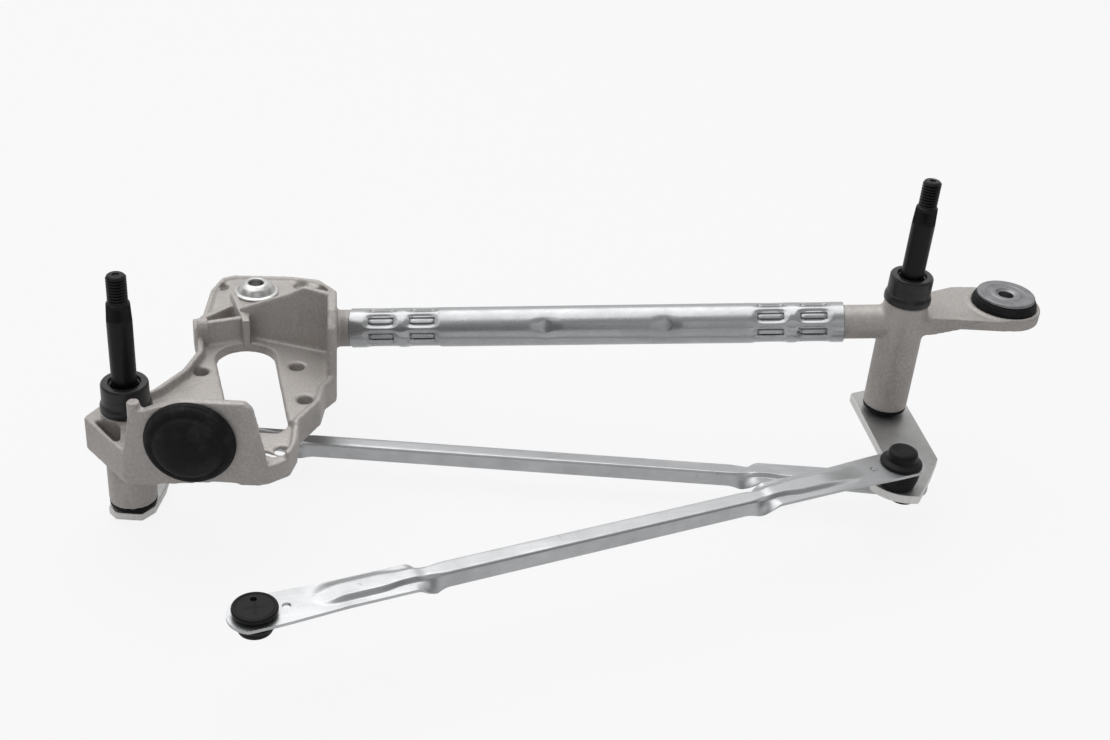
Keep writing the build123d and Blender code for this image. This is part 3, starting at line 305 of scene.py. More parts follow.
def link_surface(name, node, left_socket, right_socket, body, sizes):
    """Pressed link: a sheet whose section runs from a flat strap to an upturned channel.

    For a section parameter u from -1 to 1, the flat strap is y = W u with a raised rib in its middle,
    and the channel is a crown for |u| < 0.42 with walls down to the foot beyond it. The section is a
    blend of the two, where z folds before y narrows, so the edges bulge at each flare. The rib's nose
    is a quarter ellipse in plan, and its side at positive u is the gentler one. The inner face is the
    outer one moved by the sheet's thickness along its normal.
    """
    left = box_centre(left_socket)[:2] / MM
    right = box_centre(right_socket)[:2] / MM
    run = right - left
    length = np.linalg.norm(run)
    run = run / length
    side = np.array((-run[1], run[0]))
    plate_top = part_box(node)[1][2] / MM - sizes.rib_rise
    radius = sizes.link_end_radius
    crown_half, crown_share, wall_share = sizes.channel_width / 2, 0.42, 0.58
    rib_nose_half, least_rib_half, crown_drop = 5.2, 0.4, 1.0

    # s runs along the link from one ball to the other, and d is the distance from the nearer ball.
    round_part = -radius * np.cos(np.linspace(0.0, np.pi / 2, 20))
    plain = np.linspace(1.0, 15.0, 12)
    fine = np.linspace(16.0, 84.0, 100)
    s = np.concatenate([round_part, plain, fine, np.linspace(92.0, length - 92.0, 12),
                        length - fine[::-1], length - np.linspace(15.0, 1.0, 12), length - round_part[::-1]])
    near_left = s < length / 2
    d = np.where(near_left, s, length - s)
    rib_start = np.where(near_left, 21.0, 20.0)
    nose_run = np.where(near_left, 12.0, 22.0)
    flare = np.where(near_left, 69.0, 76.0)

    # Half width of the strap, which swells by 0.7 mm at its end and is 0.5 mm less in its middle part.
    round_width = np.sqrt(np.maximum(radius**2 - np.minimum(d, 0.0) ** 2, 0.0))
    strap = sizes.strap_width / 2 + 0.7 * smooth_step(26.0, 4.0, d) - 0.5 * smooth_step(20.0, 34.0, d)
    half = np.minimum(round_width, strap)[:, None]
    fold_z = smooth_step(flare - 11.5, flare - 2.0, d)[:, None]
    fold_y = smooth_step(flare - 8.0, flare + 3.0, d)[:, None]
    nose = np.clip((d - rib_start) / 7.0, 0.0, 1.0)
    widening = (crown_half - rib_nose_half) * smooth_step(flare - 24.0, flare - 14.0, d)
    rib_half = rib_nose_half * np.sqrt(1.0 - (1.0 - nose) ** 2) + widening
    rib_half = np.maximum(rib_half, least_rib_half)[:, None]
    rib_top = sizes.rib_rise + (sizes.crown_rise - sizes.rib_rise) * smooth_step(flare - 10.0, flare - 5.0, d)
    rib_top = (rib_top * smooth_step(rib_start - 1.0, rib_start + nose_run, d))[:, None]

    # Across the link: the flat strap with its rib, the channel, and the blend of both.
    u = np.concatenate([np.linspace(-1.0, -0.72, 6), np.linspace(-0.69, -0.24, 18), np.linspace(-0.2, 0.2, 5),
                        np.linspace(0.24, 0.69, 18), np.linspace(0.72, 1.0, 6)])[None, :]
    flat_y = half * u
    foot = np.where(u > 0.0, 1.5, 1.04)
    flat_z = rib_top * smooth_step(foot, foot - 0.44 - 0.56 * (u > 0.0), np.abs(flat_y) / rib_half)
    wall = np.clip((np.abs(u) - crown_share) / wall_share, 0.0, 1.0)
    corner = np.clip(np.abs(u) / crown_share, 0.0, 1.0)
    channel_y = np.sign(u) * crown_half * np.where(corner < 1.0, np.sin(corner * np.pi / 2) ** 0.85, 1.0)
    channel_z = (sizes.crown_rise - crown_drop * smooth_step(0.5, 1.0, corner)
                 - (sizes.channel_depth - crown_drop) * wall)
    y = flat_y + (channel_y - flat_y) * fold_y
    z = flat_z + (channel_z - flat_z) * fold_z
    ty, tz = np.gradient(y, axis=1), np.gradient(z, axis=1)
    size = np.maximum(np.hypot(ty, tz), 1e-9)
    inner_y = np.where(half < 3.0, y, y + tz / size * sizes.sheet)
    inner_z = z - ty / size * sizes.sheet
    loop_y = np.concatenate([y, inner_y[:, ::-1]], axis=1)
    loop_z = np.concatenate([z, inner_z[:, ::-1]], axis=1)
    grid = np.empty(loop_y.shape + (3,))
    grid[..., :2] = left + s[:, None, None] * run + loop_y[..., None] * side
    grid[..., 2] = plate_top + loop_z
    piece = surface_mesh(name, grid * MM, body, (node,))
    hole_radius = 1.7
    for hole_s in (11.3, length - 13.9):
        drill(piece, left + hole_s * run, plate_top, hole_radius)


def drill(piece, at, top, radius, reach=4.0, columns=28):
    """Cuts a round hole down through a piece with a boolean, whose cutter is then removed."""
    a = np.linspace(0.0, FULL_TURN, columns, endpoint=False)
    ring = [at[0] + radius * np.cos(a), at[1] + radius * np.sin(a)]
    points = np.concatenate([np.stack([*ring, np.full(columns, top + level)], axis=1)
                             for level in (-reach, reach)]) * MM
    index = np.arange(2 * columns).reshape(2, columns)
    mesh = bpy.data.meshes.new("cutter")
    mesh.from_pydata(points.tolist(), [], ring_faces(index) + [index[0, ::-1].tolist(), index[1].tolist()])
    cutter = bpy.data.objects.new("cutter", mesh)
    bpy.context.scene.collection.objects.link(cutter)
    cut = piece.modifiers.new("hole", "BOOLEAN")
    cut.object = cutter
    cut.solver = "EXACT"
    bake_modifiers(piece)
    bpy.data.objects.remove(cutter)
    piece.data.set_sharp_from_angle(angle=SHARP_ANGLE)


def copied_mesh(name, node):
    """Copy of a CAD node's mesh, under the new piece's name."""
    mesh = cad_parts[node].data.copy()
    mesh.name = name
    return mesh


def blanked_crank(side, width):
    """Copy of a crank's mesh with its doubles merged and its edges rounded by a bevel."""
    name, edge_angle = side + "_blanked_crank", np.radians(38.0)
    mesh = copied_mesh(name, side + "_crank_arm")
    work = bmesh.new()
    work.from_mesh(mesh)
    bmesh.ops.remove_doubles(work, verts=work.verts, dist=MERGE_DISTANCE)
    bmesh.ops.dissolve_limit(work, angle_limit=np.radians(0.5), verts=work.verts, edges=work.edges)
    work.to_mesh(mesh)
    work.free()
    piece = place(name, mesh, side + "_crank", (side + "_crank_arm",))
    bevel = piece.modifiers.new("rounded_edges", "BEVEL")
    bevel.width = width * MM
    bevel.segments = 2
    bevel.limit_method = "ANGLE"
    bevel.angle_limit = edge_angle
    bevel.use_clamp_overlap = True
    bevel.harden_normals = True
    mesh.shade_smooth()
    mesh.set_sharp_from_angle(angle=edge_angle)


def squared_copy(name, node, voxel, addition=None):
    """Copy of a CAD casting's mesh, with an addition where one is given, remeshed into small squares."""
    mesh = copied_mesh(name, node)
    if addition is not None:
        addition(mesh)
    piece = place(name, mesh, "frame", (node,))
    squares = piece.modifiers.new("squares", "REMESH")
    squares.mode = "VOXEL"
    squares.voxel_size = voxel * MM
    bake_modifiers(piece)
    return piece


def smooth_piece(piece, passes):
    """Smooths a piece by each pass of (name, vertex group or nothing, rounds), and shades it smooth."""
    for label, group, rounds in passes:
        soft = piece.modifiers.new(label, "SMOOTH")
        soft.factor = 0.5
        soft.iterations = rounds
        soft.vertex_group = group
    bake_modifiers(piece)
    piece.data.shade_smooth()


def blended_casting(voxel):
    """Right bracket with cast blends where the boss meets the tube stub and the ear.

    The CAD mesh is remeshed into small squares and smoothed. The smoothing is strong only near the
    seams: weight = a smooth step of the distance to the curve where two surfaces cross, which is
    hypot(distance to the boss's wall, distance to the other surface).
    """
    stub_radius, boss_radius, ear_above, web_below = 8.3, 9.8, 5.0, 4.0
    piece = squared_copy("right_cast_bracket", "right_bracket", voxel, add_ear_tip)
    points = np.empty(len(piece.data.vertices) * 3)
    piece.data.vertices.foreach_get("co", points)
    along = TUBE_START - TUBE_MEETING
    along /= np.linalg.norm(along)
    apart = points.reshape(-1, 3) / MM - TUBE_MEETING
    ahead = apart @ along
    stub_wall = np.abs(np.linalg.norm(apart - ahead[:, None] * along, axis=1) - stub_radius)
    boss_wall = np.abs(np.hypot(apart[:, 0], apart[:, 1]) - boss_radius)
    ear_face = np.minimum(np.abs(apart[:, 2] - ear_above), np.abs(apart[:, 2] + web_below))
    on_stub = smooth_step(5.0, 1.0, np.hypot(boss_wall, stub_wall)) * (ahead > 0.0)
    on_ear = smooth_step(4.5, 1.0, np.hypot(boss_wall, ear_face)) * (apart[:, 0] > 2.0)
    weight = np.maximum(on_stub, on_ear)
    seams = piece.vertex_groups.new(name="seams")
    for level in np.arange(1, 11) / 10.0:
        picked = np.nonzero(np.abs(weight - level) <= 0.05)[0]
        seams.add(picked.tolist(), float(level), "REPLACE")
    smooth_piece(piece, (("blends", "seams", 80), ("edges", "", 7)))


def add_ear_tip(mesh):
    """Adds a closed round washer to the ear's mesh: its four corners (r, z) turned about the ear's bore.

    It fills the ear out to its raised ring, and the voxel remesh joins the two.
    """
    bore = np.array((384.5, 1.5)) * MM
    inner, outer, columns = 9.5, 16.3, 96
    corners = np.array([(inner, EAR_UNDERSIDE), (outer, EAR_UNDERSIDE), (outer, EAR_TOP), (inner, EAR_TOP)])
    a = np.linspace(0.0, FULL_TURN, columns, endpoint=False)
    r = corners[:, :1] * MM
    z = np.broadcast_to(height(corners[:, 1:]), (len(corners), columns))
    points = np.stack([bore[0] + r * np.cos(a), bore[1] + r * np.sin(a), z], axis=-1).reshape(-1, 3)
    index = np.arange(len(points)).reshape(len(corners), columns)
    ring = bpy.data.meshes.new("ear_tip")
    ring.from_pydata(points.tolist(), [], ring_faces(np.concatenate([index, index[:1]])))
    work = bmesh.new()
    work.from_mesh(ring)
    bmesh.ops.recalc_face_normals(work, faces=work.faces)
    work.from_mesh(mesh)
    work.to_mesh(mesh)
    work.free()
    bpy.data.meshes.remove(ring)


def web_surface(name, stations):
    """Cast web: a rounded rectangle carried along a plan path of rows (x, y, top, left half, right half).

    The section goes from the deck up to the top, less an inset c - sqrt(c^2 - (c - e)^2) near each
    end, where c is the corner radius and e the distance to the end, and its corners are quarter arcs.
    """
    rows = np.array(stations, float)
    run = np.concatenate([[0.0], np.cumsum(np.linalg.norm(np.diff(rows[:, :2], axis=0), axis=1))])
    c = 0.5  # corner radius
    tip = c * (1.0 - np.cos(np.linspace(0.0, np.pi / 2, 5)))
    s = np.concatenate([tip, np.linspace(c, run[-1] - c, 16)[1:-1], run[-1] - tip[::-1]])
    x, y, top, left, right = (np.interp(s, run, column)[:, None] for column in rows.T)
    end = np.minimum(np.minimum(s, run[-1] - s), c)[:, None]
    inset = c - np.sqrt(np.maximum(c**2 - (c - end) ** 2, 0.0))
    forward = np.concatenate([np.gradient(x[:, 0])[:, None], np.gradient(y[:, 0])[:, None]], axis=1)
    forward /= np.linalg.norm(forward, axis=1, keepdims=True)
    turn = np.linspace(0.0, np.pi / 2, 5)[None, :]
    foot = np.full_like(x, WEB_FOOT)
    low_side, high_side = c * (1.0 - np.cos(turn)), c * (1.0 - np.sin(turn))
    across = np.concatenate([inset - left, inset - left + low_side, right - inset - high_side, right - inset], axis=1)
    up = np.concatenate([foot, top - inset - high_side, top - inset - low_side, foot], axis=1)
    grid = np.stack([x - forward[:, 1:] * across, y + forward[:, :1] * across, up - LEFT_SHOULDER], axis=-1)
    closing = grid.mean(axis=1, keepdims=True) * np.ones((1, grid.shape[1], 1))
    grid = np.concatenate([closing[:1], grid, closing[-1:]])
    surface_mesh(name, grid * MM, "frame")


def bake_modifiers(piece):
    """Replaces a piece's mesh by the result of its modifiers, and removes them."""
    bpy.context.view_layer.update()
    result = bpy.data.meshes.new_from_object(piece.evaluated_get(bpy.context.evaluated_depsgraph_get()))
    piece.modifiers.clear()
    old = piece.data
    piece.data = result
    bpy.data.meshes.remove(old)


def fill(tree, node, inputs):
    """Gives a node's inputs, by label or number, a value or a link each."""
    for label, value in inputs.items():
        if isinstance(value, bpy.types.NodeSocket):
            tree.links.new(value, node.inputs[label])
        else:
            node.inputs[label].default_value = value


def add_node(tree, kind, inputs, **settings):
    """Shader node with its settings and its inputs."""
    node = tree.nodes.new(kind)
    for label, value in settings.items():
        setattr(node, label, value)
    fill(tree, node, inputs)
    return node


def group_of(name, inputs, output, build):
    """Node group, built once and reused. An input without a value is a vector, the others are numbers."""
    if name in bpy.data.node_groups:
        return bpy.data.node_groups[name]
    tree = bpy.data.node_groups.new(name, "ShaderNodeTree")
    for label, value in inputs.items():
        kind = "NodeSocketVector" if value is None else "NodeSocketFloat"
        socket = tree.interface.new_socket(label, in_out="INPUT", socket_type=kind)
        if value is not None:
            socket.default_value = value
    tree.interface.new_socket(output, in_out="OUTPUT", socket_type="NodeSocketFloat")
    source = tree.nodes.new("NodeGroupInput").outputs
    result = tree.nodes.new("NodeGroupOutput")
    fill(tree, result, {output: build(tree, source)})
    return tree


def patches_group():
    """Soft patches: fractal noise of the given scale, cut to a mask between two levels."""

    def build(tree, source):
        noise = add_node(tree, "ShaderNodeTexNoise", {"Detail": 6.0, "Roughness": 0.6, "Vector": source["Vector"],
                                                      "Scale": source["Scale"]})
        span = add_node(tree, "ShaderNodeMapRange", {"Value": noise.outputs["Fac"], "From Min": source["Low"],
                                                     "From Max": source["High"]})
        return span.outputs["Result"]

    return group_of("soft_patches", {"Vector": None, "Scale": 60.0, "Low": 0.4, "High": 0.65}, "Mask", build)


def grain_group():
    """Blasted or cast grain: fine noise plus rounded cells, as a height."""

    def build(tree, source):
        where = {"Vector": source["Vector"], "Scale": source["Scale"]}
        noise = add_node(tree, "ShaderNodeTexNoise", {"Detail": 3.0, **where})
        cells = add_node(tree, "ShaderNodeTexVoronoi", where, feature="SMOOTH_F1")
        blend = add_node(tree, "ShaderNodeMath", {0: cells.outputs["Distance"], 1: 0.6, 2: noise.outputs["Fac"]},
                         operation="MULTIPLY_ADD")
        return blend.outputs["Value"]

    return group_of("blasted_grain", {"Vector": None, "Scale": 1400.0}, "Height", build)


def streaks_group():
    """Drawing and rolling lines: noise squeezed across one direction, as a mask from 0 to 1."""

    def build(tree, source):
        turn = add_node(tree, "ShaderNodeMapping", {"Vector": source["Vector"], "Rotation": source["Rotation"],
                                                    "Scale": source["Stretch"]})
        noise = add_node(tree, "ShaderNodeTexNoise", {"Scale": 1.0, "Detail": 4.0, "Vector": turn.outputs["Vector"]})
        span = add_node(tree, "ShaderNodeMapRange", {"From Min": 0.32, "From Max": 0.68,
                                                     "Value": noise.outputs["Fac"]})
        return span.outputs["Result"]

    return group_of("drawn_streaks", {"Vector": None, "Rotation": None, "Stretch": None}, "Mask", build)


class Finish:
    """A material under construction: the Principled shader and short ways to feed it."""

    def __init__(self, name):
        self.material = bpy.data.materials.new(name)
        self.material.use_nodes = True
        self.tree = self.material.node_tree
        self.shader = self.tree.nodes["Principled BSDF"]
        self.place = self.tree.nodes.new("ShaderNodeTexCoord").outputs["Object"]

    def node(self, kind, inputs, **settings):
        return add_node(self.tree, kind, inputs, **settings)

    def effect(self, group, **inputs):
        """Output of a shared node group, laid out in Object coordinates."""
        return self.node("ShaderNodeGroup", {"Vector": self.place, **inputs}, node_tree=group).outputs[0]

    def patches(self, scale, low, high):
        return self.effect(patches_group(), Scale=scale, Low=low, High=high)

    def streaks(self, rotation, stretch):
        return self.effect(streaks_group(), Rotation=rotation, Stretch=stretch)

    def grain(self, scale):
        return self.effect(grain_group(), Scale=scale)

    def math(self, operation, a, b):
        return self.node("ShaderNodeMath", {0: a, 1: b}, operation=operation).outputs["Value"]

    def mix(self, mask, first, second, share=None):
        """Colour between two, by a mask or a share of it; either may be a colour or a socket."""
        if share is not None:
            mask = self.math("MULTIPLY", mask, share)
        first, second = (value if isinstance(value, bpy.types.NodeSocket) else (*value[:3], 1.0)
                         for value in (first, second))
        return self.node("ShaderNodeMix", {"Factor": mask, 6: first, 7: second}, data_type="RGBA").outputs[2]

    def span(self, mask, low, high):
        """Number between two, by a mask."""
        return self.node("ShaderNodeMapRange", {"To Min": low, "To Max": high, "Value": mask}).outputs["Result"]

    def feed(self, inputs):
        """Gives the Principled shader's own sockets their values and links."""
        fill(self.tree, self.shader, inputs)

    def bump(self, *heights):
        """Chain of bumps; each entry is (height socket, strength, distance in mm)."""
        normal = {}
        for socket, strength, distance in heights:
            node = self.node("ShaderNodeBump", {"Strength": strength, "Distance": distance * MM,
                                                "Height": socket, **normal})
            normal = {"Normal": node.outputs["Normal"]}
        self.feed(normal)


def shade(colour, factor):
    """A colour made darker or lighter by a factor."""
    return tuple(min(channel * factor, 1.0) for channel in colour[:3])


def casting_finish(colour):
    """Blasted die-cast aluminium: grey patches, darker stains, fine grain and a soft sheen."""
    finish = Finish("die_cast_aluminium")
    broad = finish.patches(28.0, 0.35, 0.7)
    base = finish.mix(broad, colour, shade(colour, 0.84))
    base = finish.mix(finish.patches(95.0, 0.56, 0.72), base, shade(colour, 0.62), 0.5)
    base = finish.mix(finish.patches(900.0, 0.45, 0.7), base, shade(colour, 1.35), 0.55)
    finish.feed({"Base Color": base, "Metallic": 0.35, "Roughness": finish.span(broad, 0.42, 0.56)})
    finish.bump((broad, 0.15, 0.6), (finish.grain(1500.0), 0.6, 0.12))
    return finish.material


def zinc_finish(name, colour, degrees, rough):
    """Zinc-plated steel: long drawn streaks, cloudy bright and dull patches and faint scratches.

    Painted shade darkens the grooves, which are marked by the mesh's own recess attribute.
    """
    finish = Finish(name)
    rotation = tuple(np.radians(degrees).tolist())
    streaks = finish.streaks(rotation, (12.0, 900.0, 900.0))
    fine = finish.streaks(rotation, (60.0, 3200.0, 3200.0))
    clouds = finish.patches(55.0, 0.38, 0.66)
    base = finish.mix(clouds, colour, shade(colour, 0.86))
    base = finish.mix(streaks, base, shade(colour, 0.74), 0.35)
    base = finish.mix(finish.patches(260.0, 0.66, 0.74), base, shade(colour, 0.5), 0.5)
    groove_shade = finish.node("ShaderNodeAttribute", {}, attribute_name="recess_shade").outputs["Fac"]
    # Painted shade in the grooves: their colour goes down towards a tenth of the zinc's.
    base = finish.mix(groove_shade, base, shade(colour, 0.1), 0.85)
    finish.feed({"Base Color": base, "Metallic": 1.0, "Roughness": finish.span(clouds, rough, rough + 0.13)})
    finish.bump((streaks, 0.10, 0.05), (fine, 0.12, 0.02))
    return finish.material


def crank_finish(colour, lit_side_colour):
    """Blanked crank steel: dull plated faces, and sheared sides with their streaks painted brighter as painted light,
    told apart by the normal's z.
    """
    finish = Finish("blanked_steel")
    clouds = finish.patches(70.0, 0.36, 0.66)
    shear = finish.streaks((0.0, 0.0, 0.0), (1200.0, 1200.0, 60.0))
    normal = finish.node("ShaderNodeNewGeometry", {}).outputs["Normal"]
    parts = finish.node("ShaderNodeSeparateXYZ", {"Vector": normal})
    flat = finish.math("POWER", finish.math("ABSOLUTE", parts.outputs["Z"], 0.0), 6.0)
    face = finish.mix(clouds, colour, shade(colour, 0.84))
    face = finish.mix(finish.patches(300.0, 0.6, 0.7), face, shade(colour, 0.6), 0.4)
    # Painted light: the sides get the lighter colour that the front lamp would give them; the streaks are the sheared
    # sides' own lines.
    edge = finish.mix(shear, lit_side_colour, shade(lit_side_colour, 0.75), 0.5)
    finish.feed({"Base Color": finish.mix(flat, edge, face), "Metallic": 0.9,
                 "Roughness": finish.span(flat, 0.34, 0.46)})
    finish.bump((clouds, 0.1, 0.3), (finish.grain(1900.0), 0.3, 0.05))
    return finish.material


def black_steel_finish(colour):
    """Black phosphated steel: matt grey-black crystals, rubbed brighter in patches, with turning lines."""
    finish = Finish("black_steel")
    rubbed = finish.patches(120.0, 0.55, 0.78)
    lines = finish.streaks((0.0, 0.0, 0.0), (40.0, 40.0, 2600.0))
    finish.feed({"Base Color": finish.mix(rubbed, colour, shade(colour, 2.6), 0.5), "Metallic": 0.8,
                 "Roughness": finish.span(rubbed, 0.34, 0.24)})
    finish.bump((lines, 0.15, 0.02), (finish.grain(2600.0), 0.2, 0.02))
    return finish.material


def moulded_finish(name, colour, rough, grain_scale, dust, shine):
    """Moulded black plastic or rubber: fine mould texture, paler handling dust in patches."""
    finish = Finish(name)
    dusty = finish.patches(170.0, 0.48, 0.78)
    dust_colour = (0.16, 0.155, 0.15)
    finish.feed({"Base Color": finish.mix(dusty, colour, dust_colour, dust), "Specular IOR Level": shine,
                 "Roughness": finish.span(dusty, rough, rough + 0.14)})
    finish.bump((finish.grain(grain_scale), 0.22, 0.03))
    return finish.material


def plain_steel_finish(name, colour, rough):
    """Bright or bronze machined metal with cloudy roughness and fine grain."""
    finish = Finish(name)
    clouds = finish.patches(200.0, 0.4, 0.66)
    finish.feed({"Base Color": finish.mix(clouds, colour, shade(colour, 0.8)), "Metallic": 1.0,
                 "Roughness": finish.span(clouds, rough, rough + 0.12)})
    finish.bump((finish.grain(2200.0), 0.12, 0.02))
    return finish.material


def coat(material, *names):
    """Gives one material to the named pieces or CAD nodes, and to the nodes that the pieces stand for."""
    for name in names:
        for coated in (name, *stands_for.get(name, ())):
            data = bpy.data.objects[coated].data
            data.materials.clear()
            data.materials.append(material)


def millimetres(name, description, default):
    """Size property, in millimetres."""
    return FloatProperty(name=name, description=description + ", mm", default=default)


def base_colour(name, description, default):
    """Colour property of a finish."""
    return FloatVectorProperty(name=name, description=description, subtype="COLOR", size=3, default=default)


class LinkageSizes(bpy.types.PropertyGroup):
    """Sizes of the dressed pieces, in millimetres."""

    thread_length: millimetres("Thread length", "Length of the wiper-arm thread", 11.4)
    thread_pitch: millimetres("Thread pitch", "Rise of the thread in one turn", 1.25)
    thread_depth: millimetres("Thread depth", "Depth of the thread's groove", 0.62)
    taper_length: millimetres("Taper length", "Length of the splined taper", 8.4)
    spline_count: IntProperty(name="Splines", description="Number of fine splines on the taper", default=56)
    spline_depth: millimetres("Spline depth", "Depth of the splines", 0.22)
    tube_radius: millimetres("Tube radius", "Outer radius of the frame tube", 9.0)
    crimp_depth: millimetres("Crimp depth", "Depth of a crimp's pocket", 0.72)
    crimp_slot_depth: millimetres("Slot depth", "Further depth of a crimp's slot", 0.5)
    dimple_depth: millimetres("Dimple depth", "Depth of the wide round dimples", 0.6)
    sheet: millimetres("Sheet", "Thickness of the links' sheet", 1.3)
    link_end_radius: millimetres("Link end radius", "Radius of a link's round end", 10.0)
    strap_width: millimetres("Strap width", "Width of a link's flat strap", 16.4)
    rib_rise: millimetres("Rib rise", "Height of a link's rib above the strap", 1.9)
    channel_width: millimetres("Channel width", "Width of a link's channel", 7.6)
    channel_depth: millimetres("Channel depth", "Depth of a link's channel", 6.8)
    crown_rise: millimetres("Crown rise", "Height of the crown above the strap", 1.2)
    casting_square: millimetres("Bearing square", "Square size of the right casting", 0.5)
    bracket_square: millimetres("Bracket square", "Square size of the left casting", 0.75)
    crank_round: millimetres("Crank edge width", "Width of the cranks' edge rounding", 0.5)


class LinkageColours(bpy.types.PropertyGroup):
    """Base colours of the finishes."""

    casting: base_colour("Casting", "Die-cast aluminium", (0.47, 0.443, 0.422))
    zinc: base_colour("Zinc", "Plated sheet steel", (0.60, 0.61, 0.62))
    crank: base_colour("Crank", "Crank faces", (0.52, 0.52, 0.515))
    # Painted light: the cranks' sides get this lighter colour in place of the front lamp's light.
    crank_lit_side: base_colour("Crank edge", "Sheared edges", (0.78, 0.77, 0.75))
    spindle: base_colour("Spindle", "Black phosphated steel", (0.017, 0.017, 0.018))
    plastic: base_colour("Plastic", "Moulded black plastic", (0.009, 0.009, 0.010))
    rubber: base_colour("Rubber", "Moulded black rubber", (0.014, 0.014, 0.015))
    collar: base_colour("Collar", "Bright collar steel", (0.66, 0.66, 0.65))
    floor: base_colour("Floor", "Pale studio floor", (0.55, 0.55, 0.56))


class LINKAGE_OT_spindles(bpy.types.Operator):
    """Make both threaded spindles"""

    bl_idname = "linkage.spindles"
    bl_label = "Spindles"

    def execute(self, context):
        sizes = context.scene.linkage_sizes
        # Heights of the riveted head's foot, the crank's underside, the crank's top and the shoulder.
        spindle_surface("left", -4.7, -3.52, LEFT_CRANK_TOP, LEFT_SHOULDER, sizes)
        spindle_surface("right", 18.3, 19.48, RIGHT_CRANK_TOP, RIGHT_SHOULDER, sizes)
        return {"FINISHED"}


class LINKAGE_OT_tube(bpy.types.Operator):
    """Make the crimped frame tube"""

    bl_idname = "linkage.tube"
    bl_label = "Frame tube"

    def execute(self, context):
        tube_surface(context.scene.linkage_sizes)
        return {"FINISHED"}


class LINKAGE_OT_links(bpy.types.Operator):
    """Make both pressed links"""

    bl_idname = "linkage.links"
    bl_label = "Pressed links"

    def execute(self, context):
        sizes = context.scene.linkage_sizes
        link_surface("rear_pressed_link", "rear_link", "rear_link_left_socket", "rear_link_right_socket",
                     "rear_link_body", sizes)
        link_surface("front_pressed_link", "front_link", "front_link_free_socket", "front_link_right_socket",
                     "front_link_body", sizes)
        return {"FINISHED"}


class LINKAGE_OT_caps(bpy.types.Operator):
    """Make both seal caps with their sealing lips"""

    bl_idname = "linkage.caps"
    bl_label = "Seal caps"

    def execute(self, context):
        corners = [(7.9, 0.05), (10.0, 0.05), (10.3, 0.4), (10.3, 2.6), (9.75, 4.1), (9.5, 4.3), (9.5, 7.4),
                   (9.42, 7.6), (9.5, 7.8), (9.45, 11.9), (8.9, 12.75), (6.55, 12.75), (6.35, 12.2), (6.1, 11.5),
                   (5.45, 11.3), (5.35, 10.6), (6.2, 10.3), (7.9, 10.3), (7.9, 0.05)]
        profile = rounded_profile(corners, 0.35, 4)
        for side, x, top in (("left", 0.0, LEFT_BOSS_TOP), ("right", RIGHT_AXIS_X, RIGHT_BOSS_TOP)):
            revolved(side + "_lipped_cap", profile, (x * MM, 0.0, height(top)), "frame",
                     (side + "_seal_cap",))
        return {"FINISHED"}


